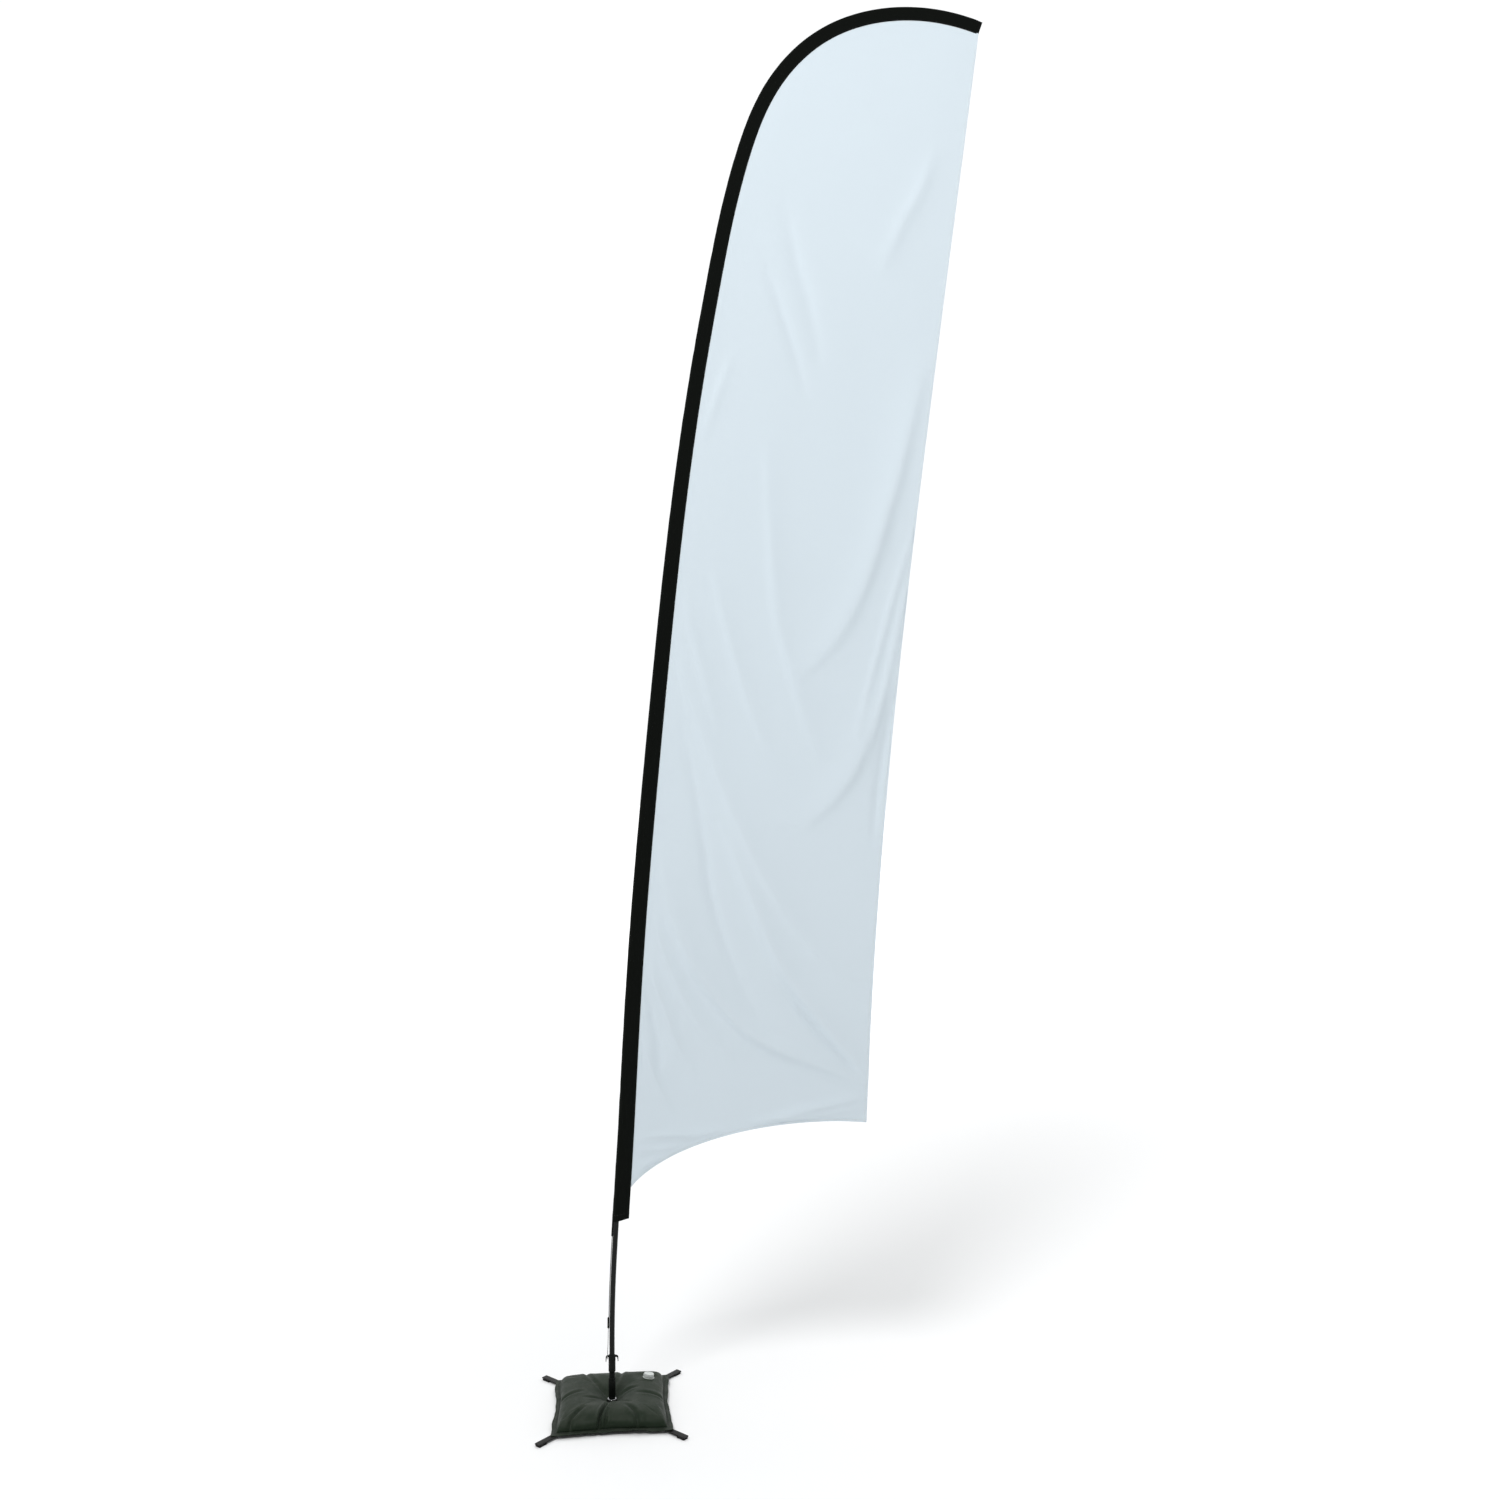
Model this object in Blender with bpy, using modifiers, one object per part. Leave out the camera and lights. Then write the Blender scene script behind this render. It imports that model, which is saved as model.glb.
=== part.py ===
"""Free-standing feather flag: cross base, water ballast bag, turning spindle, five-piece mast and flag.

Metres, +Z up. The origin is on the ground under the spindle. The flag hangs in the X-Z plane, towards +X.
"""

import math

import bmesh
import bpy
import numpy as np
from mathutils import Matrix, Vector

# Clearance between pieces that touch on the real object
GAP = 0.0003

# Cross base
ARM_REACH = 0.400
ARM_WIDTH = 0.025
ARM_THICK = 0.005
PIVOT_RADIUS = 0.030
PLATE_THICK = 0.003
PLATE_CORNER = 0.014
HUB_FOOT_RADIUS = 0.022
HUB_FOOT_THICK = 0.0032
RIVET_RADIUS = 0.004
RIVET_HEAD = 0.007
BOLT_RADIUS = 0.006
BOLT_HEAD = 0.010
HEAD_BOTTOM = 0.0013
ARM_FOOT_LENGTH = 0.038
ARM_ANGLES = {
    "front_left": -135.0,
    "front_right": -45.0,
    "rear_right": 45.0,
    "rear_left": 135.0,
}

# Levels of the stack on the spindle axis
LOWER_PLATE_Z = HUB_FOOT_THICK + GAP
ARM_Z = LOWER_PLATE_Z + PLATE_THICK + GAP
UPPER_PLATE_Z = ARM_Z + ARM_THICK + GAP
SPINDLE_Z = UPPER_PLATE_Z + PLATE_THICK + GAP
FLANGE_Z = 0.033
FLANGE_TOP = 0.036
FLANGE_RADIUS = 0.019
SHAFT_RADIUS = 0.006
SHAFT_TOP = 0.095
WASHER_RADIUS = 0.0175
WASHER_TOP = 0.040

# Turning housing and its two ball bearings
HOUSING_RADIUS = 0.014
HOUSING_TOP = 0.124
BEARING_BORE = 0.0122
BEARING_HEIGHT = 0.006
LOWER_BEARING_Z = 0.0423
UPPER_BEARING_Z = 0.0817
SHOULDER_Z = 0.088
NECK_RADIUS = 0.0115
SOCKET_TOP = 0.196
SOCKET_BORE = 0.0083

# Mast: outer radius of each section, bottom to top, and the arc length where it ends
SECTIONS = [
    ("mast_section_1", 0.0105, 1.3),
    ("mast_section_2", 0.0090, 2.6),
    ("mast_section_3", 0.0075, 3.9),
    ("mast_section_4", 0.0060, 5.1),
    ("mast_section_5", 0.0045, 6.1),
]
TUBE_WALL = 0.0012
MAST_FOOT_Z = 0.1993
BEND_START_Z = 0.270
MAST_SIDES = 12

# How far the bent mast leans from upright, in degrees, at arc lengths from the start of the bend
LEAN = [
    (0.00, 0.0),
    (0.35, 3.0),
    (1.10, 2.9),
    (2.00, 4.9),
    (3.00, 6.0),
    (4.00, 9.7),
    (4.60, 13.1),
    (5.00, 23.0),
    (5.30, 44.0),
    (5.60, 70.0),
    (5.90, 92.0),
    (6.15, 109.0),
]

# Sleeve and panel
SLEEVE_START = 0.48
SLEEVE_END = 6.15
SLEEVE_WALL = 0.001
NOSE_BOTTOM = 0.0175
NOSE_TOP = 0.0075
TAIL_BOTTOM = 0.0485
TAIL_TOP = 0.0455
PANEL_START = 0.61
PANEL_THICK = 0.0006
LEECH_FOOT = (1.036, 1.118)
LEECH_PULL = [(1.08, 2.60), (1.31, 4.08)]
FOOT_PULL = [(0.64, 1.16), (0.20, 1.05)]

# Tension line beside the pole
LINE_OFFSET = 0.0130
LINE_RADIUS = 0.0015
LOCK_RADIUS = 0.004
LOCK_TOP = 0.365
LOCK_BOTTOM = 0.320
ELASTIC_RADIUS = 0.00125
TAB_WIDTH = 0.008
TAB_THICK = 0.0014
TAB_BOTTOM = 0.688
TAB_TOP = 0.790

# Hook collar round the foot of the mast
COLLAR_BORE = 0.0108
COLLAR_RADIUS = 0.0142
COLLAR_Z = SOCKET_TOP + GAP
COLLAR_TOP = 0.213
HOOK_THICK = 0.008

# Ballast bag
BAG_HALF = 0.234
SEAM_HALF = 0.215
BAG_HOLE = 0.022
BAG_BOTTOM = 0.0125
BAG_CROWN = 0.066
BAG_SEAM_Z = 0.0165
HEM_TOP_Z = 0.0180
HOLE_TOP_Z = 0.030
HUB_ROOM_Z = 0.0180
CORNER_POWER = 9.0
RIM_CORNER_POWER = 18.0
BAG_SIDES = 40

# Filler valve, placed on the bag's top towards its rear right corner
VALVE_XY = (0.150, 0.118)
VALVE_TILT = 10.0
VALVE_SINK = 0.003
VALVE_FLANGE = 0.024
NECK_OUTER = 0.015
NECK_INNER = 0.012
CAP_RADIUS = 0.0205


# ---------------------------------------------------------------- scene and materials


def clear_scene():
    for old in list(bpy.data.objects):
        bpy.data.objects.remove(old, do_unlink=True)


def collection(name):
    made = bpy.data.collections.new(name)
    bpy.context.scene.collection.children.link(made)
    return made


def material(name, colour, roughness, metallic=0.0):
    made = bpy.data.materials.new(name)
    made.use_nodes = True
    shader = made.node_tree.nodes["Principled BSDF"]
    shader.inputs["Base Color"].default_value = (*colour, 1.0)
    shader.inputs["Roughness"].default_value = roughness
    shader.inputs["Metallic"].default_value = metallic
    return made


clear_scene()
PARTS = collection("feather_flag")
CUTTERS = collection("cutters")
BLACK_STEEL = material("black_steel", (0.020, 0.022, 0.020), 0.45, 0.9)
CHROME = material("chrome", (0.60, 0.60, 0.60), 0.15, 1.0)
BEARING_STEEL = material("bearing_steel", (0.50, 0.50, 0.50), 0.25, 1.0)
ZINC_STEEL = material("zinc_steel", (0.45, 0.45, 0.46), 0.35, 1.0)
BLACK_ALUMINIUM = material("black_aluminium", (0.012, 0.014, 0.012), 0.40, 0.8)
BLACK_ROD = material("black_fibreglass", (0.010, 0.010, 0.010), 0.45)
BLACK_PLASTIC = material("black_plastic", (0.012, 0.013, 0.012), 0.50)
BLACK_RUBBER = material("black_rubber", (0.015, 0.015, 0.015), 0.85)
BLACK_FABRIC = material("black_fabric", (0.005, 0.006, 0.005), 0.90)
WHITE_FABRIC = material("white_fabric", (0.72, 0.78, 0.82), 0.80)
BLACK_WEBBING = material("black_webbing", (0.010, 0.010, 0.010), 0.90)
BLACK_CORD = material("black_cord", (0.012, 0.012, 0.012), 0.85)
GREY_ELASTIC = material("grey_elastic", (0.35, 0.36, 0.36), 0.80)
BAG_COATED = material("coated_fabric", (0.050, 0.065, 0.050), 0.55)
CAP_PLASTIC = material("white_plastic", (0.70, 0.72, 0.70), 0.35)
CLEAR_PLASTIC = material("clear_plastic", (0.55, 0.58, 0.55), 0.30)
GREY_RUBBER = material("grey_rubber", (0.20, 0.20, 0.20), 0.80)


# ---------------------------------------------------------------- making objects


def link(name, data, finish, target=PARTS):
    made = bpy.data.objects.new(name, data)
    target.objects.link(made)
    if finish is not None:
        data.materials.clear()
        data.materials.append(finish)
    return made


def smooth(mesh, angle=35.0):
    mesh.shade_smooth()
    mesh.set_sharp_from_angle(angle=math.radians(angle))


def hide(cutter):
    cutter.hide_render = True
    cutter.display_type = "WIRE"


def turned(name, profile, finish, steps=24, target=PARTS):
    """Solid of revolution about Z from (radius, z) points, down the outer side, top to bottom.

    A profile that starts and ends on the axis is a solid turning; any other is closed into a ring.
    """
    mesh = bpy.data.meshes.new(name)
    points = [(radius, 0.0, z) for radius, z in profile]
    edges = [(i, i + 1) for i in range(len(points) - 1)]
    on_axis = profile[0][0] == 0.0
    if not on_axis:
        edges.append((len(points) - 1, 0))
    mesh.from_pydata(points, edges, [])
    made = link(name, mesh, finish, target)
    screw = made.modifiers.new("turn", "SCREW")
    screw.axis = "Z"
    screw.steps = steps
    screw.render_steps = steps
    screw.use_merge_vertices = True
    screw.merge_threshold = 0.00002
    screw.use_smooth_shade = False
    return made


def ring(name, inner, outer, bottom, top, finish, steps=24, edge=0.0003):
    """Plain turned ring with a small chamfer on its outer edges."""
    profile = [
        (outer - edge, top),
        (outer, top - edge),
        (outer, bottom + edge),
        (outer - edge, bottom),
        (inner, bottom),
        (inner, top),
    ]
    return turned(name, profile, finish, steps)


def flat_outline(name, outlines, thickness, finish, target=PARTS):
    """Extruded flat shape in X-Y, centred on z = 0; later outlines inside the first are holes."""
    curve = bpy.data.curves.new(name, "CURVE")
    curve.dimensions = "2D"
    curve.fill_mode = "BOTH"
    curve.extrude = thickness / 2.0
    for outline in outlines:
        spline = curve.splines.new("POLY")
        spline.points.add(len(outline) - 1)
        for point, (x, y) in zip(spline.points, outline):
            point.co = (x, y, 0.0, 1.0)
        spline.use_cyclic_u = True
    return link(name, curve, finish, target)


def tube_line(name, points, radius, finish, resolution=2):
    """Cord or rod along a list of points, with filled ends."""
    curve = bpy.data.curves.new(name, "CURVE")
    curve.dimensions = "3D"
    curve.bevel_depth = radius
    curve.bevel_resolution = resolution
    curve.use_fill_caps = True
    spline = curve.splines.new("POLY")
    spline.points.add(len(points) - 1)
    for point, place in zip(spline.points, points):
        point.co = (*place, 1.0)
    return link(name, curve, finish)


def arc(centre, radius, start, end, count):
    """Points of an arc, start and end angles in degrees."""
    angles = np.radians(np.linspace(start, end, count))
    return [(centre[0] + radius * math.cos(a), centre[1] + radius * math.sin(a)) for a in angles]


def circle(centre, radius, count=16):
    return arc(centre, radius, 0.0, 360.0, count + 1)[:-1]


def hollow_loft(name, outer, inner, finish, inner_end_closed=False):
    """Skin through rings of points: outer rings, then inner rings that make it hollow.

    The inner skin opens at the first ring. It opens at the last ring too, unless inner_end_closed.
    """
    bm = bmesh.new()
    skins = []
    for rings in (outer, inner):
        skins.append([[bm.verts.new(p) for p in points] for points in rings])
    for skin, flip in zip(skins, (False, True)):
        for low, high in zip(skin[:-1], skin[1:]):
            count = len(low)
            for i in range(count):
                j = (i + 1) % count
                corners = [low[i], low[j], high[j], high[i]]
                bm.faces.new(corners[::-1] if flip else corners)
    ends = [(skins[0][0], skins[1][0])] if inner else []
    if inner and not inner_end_closed:
        ends.append((skins[0][-1], skins[1][-1]))
    for outside, inside in ends:
        count = len(outside)
        for i in range(count):
            j = (i + 1) % count
            bm.faces.new([outside[i], outside[j], inside[j], inside[i]])
    if not inner:
        bm.faces.new(skins[0][0])
    if not inner or inner_end_closed:
        bm.faces.new(skins[0][-1])
    if inner_end_closed:
        bm.faces.new(skins[1][-1])
    bmesh.ops.recalc_face_normals(bm, faces=bm.faces)
    mesh = bpy.data.meshes.new(name)
    bm.to_mesh(mesh)
    bm.free()
    smooth(mesh)
    return link(name, mesh, finish)


def boolean(made, cutter, operation):
    step = made.modifiers.new(operation.lower(), "BOOLEAN")
    step.operation = operation
    step.object = cutter
    hide(cutter)


def bevel(made, width, segments=2):
    step = made.modifiers.new("rounded", "BEVEL")
    step.width = width
    step.segments = segments
    step.limit_method = "ANGLE"


# ---------------------------------------------------------------- cross base


def pivot_point(angle):
    return (
        PIVOT_RADIUS * math.cos(math.radians(angle)),
        PIVOT_RADIUS * math.sin(math.radians(angle)),
    )


def hub_foot():
    pocket = BOLT_HEAD + 0.0005
    floor = 0.001
    profile = [
        (0.0, floor),
        (pocket, floor),
        (pocket, HUB_FOOT_THICK),
        (HUB_FOOT_RADIUS - 0.0008, HUB_FOOT_THICK),
        (HUB_FOOT_RADIUS, HUB_FOOT_THICK - 0.0008),
        (HUB_FOOT_RADIUS, 0.0),
        (0.0, 0.0),
    ]
    turned("hub_foot", profile, BLACK_RUBBER)


def hub_plates():
    corners = []
    for turn, angle in enumerate(sorted(ARM_ANGLES.values())):
        start = -180.0 + 90.0 * turn
        corners += arc(pivot_point(angle), PLATE_CORNER, start, start + 90.0, 6)
    holes = [circle(pivot_point(angle), RIVET_RADIUS + GAP, 12) for angle in ARM_ANGLES.values()]
    holes.append(circle((0.0, 0.0), BOLT_RADIUS + GAP, 16))
    for name, bottom in (("hub_plate_lower", LOWER_PLATE_Z), ("hub_plate_upper", UPPER_PLATE_Z)):
        plate = flat_outline(name, [corners, *holes], PLATE_THICK, BLACK_STEEL)
        plate.location.z = bottom + PLATE_THICK / 2.0


def hub_fasteners():
    top = ARM_Z + ARM_THICK
    ring("hub_spacer", BOLT_RADIUS + GAP, 0.014, ARM_Z, top, ZINC_STEEL, edge=0.0002)
    shank_top = 0.028
    bolt = [
        (0.0, shank_top),
        (BOLT_RADIUS - 0.001, shank_top),
        (BOLT_RADIUS, shank_top - 0.001),
        (BOLT_RADIUS, HUB_FOOT_THICK),
        (BOLT_HEAD, HUB_FOOT_THICK),
        (BOLT_HEAD, HEAD_BOTTOM),
        (0.0, HEAD_BOTTOM),
    ]
    turned("base_bolt", bolt, ZINC_STEEL)


def arm_rivet(side, angle):
    rivet_top = SPINDLE_Z + 0.0018
    profile = [
        (0.0, rivet_top),
        (RIVET_HEAD - 0.002, rivet_top),
        (RIVET_HEAD, SPINDLE_Z + 0.0006),
        (RIVET_HEAD, SPINDLE_Z),
        (RIVET_RADIUS, SPINDLE_Z),
        (RIVET_RADIUS, HUB_FOOT_THICK),
        (RIVET_HEAD, HUB_FOOT_THICK),
        (RIVET_HEAD, HEAD_BOTTOM),
        (0.0, HEAD_BOTTOM),
    ]
    rivet = turned("rivet_" + side, profile, ZINC_STEEL, steps=16)
    rivet.location = (*pivot_point(angle), 0.0)


def arm(side, angle):
    """Flat bar that turns on its rivet, with its round end at the rivet and a rubber pad at its tip."""
    half = ARM_WIDTH / 2.0
    length = ARM_REACH - PIVOT_RADIUS
    outline = arc((0.0, 0.0), half, 90.0, 270.0, 11) + [(length, -half), (length, half)]
    bar = flat_outline("arm_" + side, [outline, circle((0.0, 0.0), RIVET_RADIUS + GAP, 12)],
                       ARM_THICK, BLACK_STEEL)
    bar.location = (*pivot_point(angle), ARM_Z + ARM_THICK / 2.0)
    bar.rotation_euler.z = math.radians(angle)

    foot_height = ARM_Z - GAP
    middle = ARM_REACH - ARM_FOOT_LENGTH / 2.0 - 0.002
    bpy.ops.mesh.primitive_cube_add(size=1.0)
    foot = bpy.context.active_object
    foot.name = "arm_foot_" + side
    foot.data.transform(Matrix.Diagonal((ARM_FOOT_LENGTH, ARM_WIDTH, foot_height, 1.0)))
    foot.rotation_euler.z = math.radians(angle)
    foot.location = (
        middle * math.cos(math.radians(angle)),
        middle * math.sin(math.radians(angle)),
        foot_height / 2.0,
    )
    foot.data.materials.append(BLACK_RUBBER)
    for owner in list(foot.users_collection):
        owner.objects.unlink(foot)
    PARTS.objects.link(foot)
    bevel(foot, 0.0008, 1)


# ---------------------------------------------------------------- spindle and turning housing


def spindle():
    bore = BOLT_RADIUS + GAP
    profile = [
        (0.0, SHAFT_TOP),
        (SHAFT_RADIUS - 0.001, SHAFT_TOP),
        (SHAFT_RADIUS, SHAFT_TOP - 0.001),
        (SHAFT_RADIUS, FLANGE_TOP),
        (FLANGE_RADIUS - 0.0006, FLANGE_TOP),
        (FLANGE_RADIUS, FLANGE_TOP - 0.0006),
        (FLANGE_RADIUS, FLANGE_Z),
        (0.011, FLANGE_Z),
        (0.011, SPINDLE_Z),
        (bore, SPINDLE_Z),
        (bore, 0.029),
        (0.0, 0.029),
    ]
    turned("spindle", profile, BLACK_STEEL)
    ring("thrust_washer", SHAFT_RADIUS + GAP, WASHER_RADIUS, FLANGE_TOP + GAP, WASHER_TOP,
         CHROME, edge=0.0008)


def ball_bearing(name, bottom):
    """Inner race on the shaft, outer race in the housing, and the caged balls as a ring between."""
    top = bottom + BEARING_HEIGHT
    edge = 0.0002
    ring(name + "_inner_race", SHAFT_RADIUS + GAP, 0.0083, bottom, top, BEARING_STEEL, 16, edge)
    ring(name + "_outer_race", 0.0099, BEARING_BORE - GAP, bottom, top, BEARING_STEEL, 16, edge)
    ring(name + "_ball_cage", 0.0086, 0.0096, bottom + 0.001, top - 0.001, ZINC_STEEL, 16, edge)


def bearing_stack():
    ring("bearing_retaining_ring", 0.0100, BEARING_BORE - GAP, WASHER_TOP + 0.0006,
         LOWER_BEARING_Z - GAP, ZINC_STEEL, 16, edge=0.0002)
    ball_bearing("lower_bearing", LOWER_BEARING_Z)
    ring("bearing_spacer", SHAFT_RADIUS + GAP, 0.0080, LOWER_BEARING_Z + BEARING_HEIGHT + GAP,
         UPPER_BEARING_Z - GAP, ZINC_STEEL, 16, edge=0.0002)
    ball_bearing("upper_bearing", UPPER_BEARING_Z)
    bottom = UPPER_BEARING_Z + BEARING_HEIGHT + GAP
    nut = flat_outline("spindle_nut",
                       [circle((0.0, 0.0), 0.0098, 6), circle((0.0, 0.0), SHAFT_RADIUS + GAP, 18)],
                       0.006, ZINC_STEEL)
    nut.location.z = bottom + 0.003


def turning_housing():
    """Lower half holds the bearings; the socket above it is screwed in and takes the mast's spigot."""
    edge = 0.0008
    stub = 0.0100
    nut_room = 0.0103
    housing = [
        (HOUSING_RADIUS - edge, HOUSING_TOP),
        (HOUSING_RADIUS, HOUSING_TOP - edge),
        (HOUSING_RADIUS, WASHER_TOP + GAP + edge),
        (HOUSING_RADIUS - edge, WASHER_TOP + GAP),
        (BEARING_BORE, WASHER_TOP + GAP),
        (BEARING_BORE, SHOULDER_Z),
        (nut_room, SHOULDER_Z),
        (nut_room, 0.097),
        (0.006, 0.097),
        (0.006, 0.100),
        (stub, 0.100),
        (stub, HOUSING_TOP),
    ]
    turned("bearing_housing", housing, BLACK_PLASTIC)
    neck_z = HOUSING_TOP + GAP
    socket = [
        (HOUSING_RADIUS - edge, SOCKET_TOP),
        (HOUSING_RADIUS, SOCKET_TOP - edge),
        (HOUSING_RADIUS, 0.149),
        (NECK_RADIUS, 0.146),
        (NECK_RADIUS, neck_z),
        (stub - GAP, neck_z),
        (stub - GAP, 0.1003),
        (0.006, 0.1003),
        (0.006, 0.107),
        (SOCKET_BORE, 0.107),
        (SOCKET_BORE, SOCKET_TOP),
    ]
    turned("mast_socket", socket, BLACK_PLASTIC)


# ---------------------------------------------------------------- mast


def lean_at(length):
    """Lean in radians, a smooth curve through the stations of LEAN."""
    stations = np.array([s for s, _ in LEAN])
    angles = np.radians([a for _, a in LEAN])
    slopes = np.gradient(angles, stations)
    length = np.clip(length, 0.0, stations[-1])
    i = np.clip(np.searchsorted(stations, length) - 1, 0, len(stations) - 2)
    step = stations[i + 1] - stations[i]
    t = (length - stations[i]) / step
    return (
        (2 * t**3 - 3 * t**2 + 1) * angles[i]
        + (t**3 - 2 * t**2 + t) * step * slopes[i]
        + (3 * t**2 - 2 * t**3) * angles[i + 1]
        + (t**3 - t**2) * step * slopes[i + 1]
    )


FINE = np.linspace(0.0, SLEEVE_END, 1231)
FINE_LEAN = lean_at(FINE)
FINE_STEP = FINE[1] - FINE[0]
FINE_X = np.concatenate([[0.0], np.cumsum(np.sin((FINE_LEAN[1:] + FINE_LEAN[:-1]) / 2) * FINE_STEP)])
FINE_Z = np.concatenate([[0.0], np.cumsum(np.cos((FINE_LEAN[1:] + FINE_LEAN[:-1]) / 2) * FINE_STEP)])


def mast_point(length, across=0.0, aside=0.0):
    """Point at an arc length of the mast, moved across it towards the flag, and aside along Y."""
    lean = float(lean_at(length))
    x = float(np.interp(length, FINE, FINE_X))
    z = BEND_START_Z + (float(np.interp(length, FINE, FINE_Z)) if length >= 0.0 else length)
    return (x + across * math.cos(lean), aside, z - across * math.sin(lean))


def mast_length_at(height):
    """Arc length where the lower, rising part of the mast reaches a height."""
    rising = FINE_Z[:400]
    return float(np.interp(height - BEND_START_Z, rising, FINE[:400]))


def stations(start, end):
    """Arc lengths of the rings: far apart low down, close together where the mast bends most."""
    marks = set(np.round(np.arange(0.0, 4.0, 0.2), 3))
    marks |= set(np.round(np.arange(4.0, 4.6, 0.1), 3))
    marks |= set(np.round(np.arange(4.6, SLEEVE_END, 0.05), 3))
    marks |= {SLEEVE_START, PANEL_START, SLEEVE_END}
    marks |= {round(top, 3) for _, _, top in SECTIONS}
    marks |= {round(top - 0.1, 3) for _, _, top in SECTIONS[:-1]}
    inside = {float(s) for s in marks if start < s < end}
    return sorted(inside | {start, end})


def round_rings(marks, radius):
    rings = []
    for mark in marks:
        ring_points = []
        for k in range(MAST_SIDES):
            angle = 2.0 * math.pi * k / MAST_SIDES
            ring_points.append(mast_point(mark, radius * math.cos(angle), radius * math.sin(angle)))
        rings.append(ring_points)
    return rings


def mast_sections():
    """Five plugged sections: tubes, then a solid rod at the tip, each 0.1 m inside the one below."""
    start = MAST_FOOT_Z - BEND_START_Z
    for index, (name, radius, end) in enumerate(SECTIONS):
        marks = stations(start, end)
        solid = index == len(SECTIONS) - 1
        inner = [] if solid else round_rings(marks, radius - TUBE_WALL)
        finish = BLACK_ALUMINIUM if index < 2 else BLACK_ROD
        hollow_loft(name, round_rings(marks, radius), inner, finish)
        start = round(end - 0.1, 3)


def mast_ends():
    plug = SECTIONS[0][1] - TUBE_WALL - 0.0005
    flange = 0.0104
    low, high = 0.1085, 0.260
    profile = [
        (0.0, high),
        (plug - 0.001, high),
        (plug, high - 0.001),
        (plug, MAST_FOOT_Z - GAP),
        (flange, MAST_FOOT_Z - GAP),
        (flange, COLLAR_Z),
        (SOCKET_BORE - GAP, COLLAR_Z),
        (SOCKET_BORE - GAP, low + 0.001),
        (SOCKET_BORE - GAP - 0.001, low),
        (0.0, low),
    ]
    turned("mast_spigot", profile, BLACK_PLASTIC)

    rod_end = SECTIONS[-1][2]
    radius = SECTIONS[-1][1]
    cap = turned("mast_tip_cap", [(0.0, 0.018), (radius * 0.6, 0.0165), (radius, 0.012),
                                  (radius, GAP), (0.0, GAP)], BLACK_RUBBER, steps=12)
    cap.location = mast_point(rod_end)
    cap.rotation_euler.y = float(lean_at(rod_end))


def hook_outline():
    """Right-hand hook in (x, z): out from the collar, round and down, open below."""
    top = COLLAR_TOP - 0.001
    outer = [(0.012, top), (0.017, top + 0.0003)]
    outer += arc((0.0165, 0.2035), 0.0088, 78.0, 0.0, 6)
    tip = [(0.0256, 0.196), (0.0254, 0.188), (0.0243, 0.1865), (0.0230, 0.188)]
    inner = [(0.0220, 0.196)] + arc((0.0165, 0.2005), 0.0045, 0.0, 90.0, 5) + [(0.012, 0.2048)]
    return outer + tip + inner


def curve_to_mesh(made):
    """Replace a curve object by a welded mesh, so that it can take or be a Boolean."""
    bpy.context.view_layer.update()
    evaluated = made.evaluated_get(bpy.context.evaluated_depsgraph_get())
    mesh = bpy.data.meshes.new_from_object(evaluated)
    bm = bmesh.new()
    bm.from_mesh(mesh)
    bmesh.ops.remove_doubles(bm, verts=bm.verts, dist=0.00001)
    bm.to_mesh(mesh)
    bm.free()
    target = made.users_collection[0]
    name = made.name
    matrix = made.matrix_world.copy()
    bpy.data.objects.remove(made, do_unlink=True)
    fresh = bpy.data.objects.new(name, mesh)
    fresh.matrix_world = matrix
    target.objects.link(fresh)
    return fresh


def hook_collar():
    collar = ring("hook_collar", COLLAR_BORE, COLLAR_RADIUS, COLLAR_Z, COLLAR_TOP, BLACK_PLASTIC,
                  edge=0.0008)
    for side in (1.0, -1.0):
        outline = [(side * x, z) for x, z in hook_outline()]
        hook = flat_outline("hook_shape", [outline], HOOK_THICK, BLACK_PLASTIC, CUTTERS)
        hook.rotation_euler.x = math.radians(90.0)
        boolean(collar, curve_to_mesh(hook), "UNION")


# ---------------------------------------------------------------- flag


def nose_at(length):
    return NOSE_BOTTOM + (NOSE_TOP - NOSE_BOTTOM) * length / SLEEVE_END


def tail_at(length):
    return TAIL_BOTTOM + (TAIL_TOP - TAIL_BOTTOM) * length / SLEEVE_END


def sleeve_ring(length, inset):
    """Teardrop section: round in front of the pole, tapering to the seam behind it."""
    radius = nose_at(length) - inset
    seam = tail_at(length) - 5.0 * inset
    half_seam = 0.0012 - 0.8 * inset
    points = [mast_point(length, seam, half_seam)]
    for angle in np.radians(np.linspace(70.0, 290.0, 10)):
        points.append(mast_point(length, radius * math.cos(angle), radius * math.sin(angle)))
    points.append(mast_point(length, seam, -half_seam))
    return points


def flag_sleeve():
    """Pocket for the mast, sewn shut at its tip and open at its foot."""
    marks = stations(SLEEVE_START, SLEEVE_END)
    outer = [sleeve_ring(mark, 0.0) for mark in marks]
    inner = [sleeve_ring(mark, SLEEVE_WALL) for mark in marks[:-1]]
    inner.append(sleeve_ring(SLEEVE_END - 0.004, SLEEVE_WALL))
    hollow_loft("flag_sleeve", outer, inner, BLACK_FABRIC, inner_end_closed=True)


def bezier(start, pulls, end, count):
    """Points of a cubic curve, without its last point."""
    a, b, c, d = (np.array(p) for p in (start, *pulls, end))
    points = []
    for t in np.linspace(0.0, 1.0, count + 1)[:-1]:
        p = (1 - t) ** 3 * a + 3 * t * (1 - t) ** 2 * b + 3 * t**2 * (1 - t) * c + t**3 * d
        points.append((float(p[0]), float(p[1])))
    return points


def seam_line():
    points = []
    for mark in stations(PANEL_START, SLEEVE_END):
        x, _, z = mast_point(mark, tail_at(mark) + GAP)
        points.append((x, z))
    return points


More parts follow.
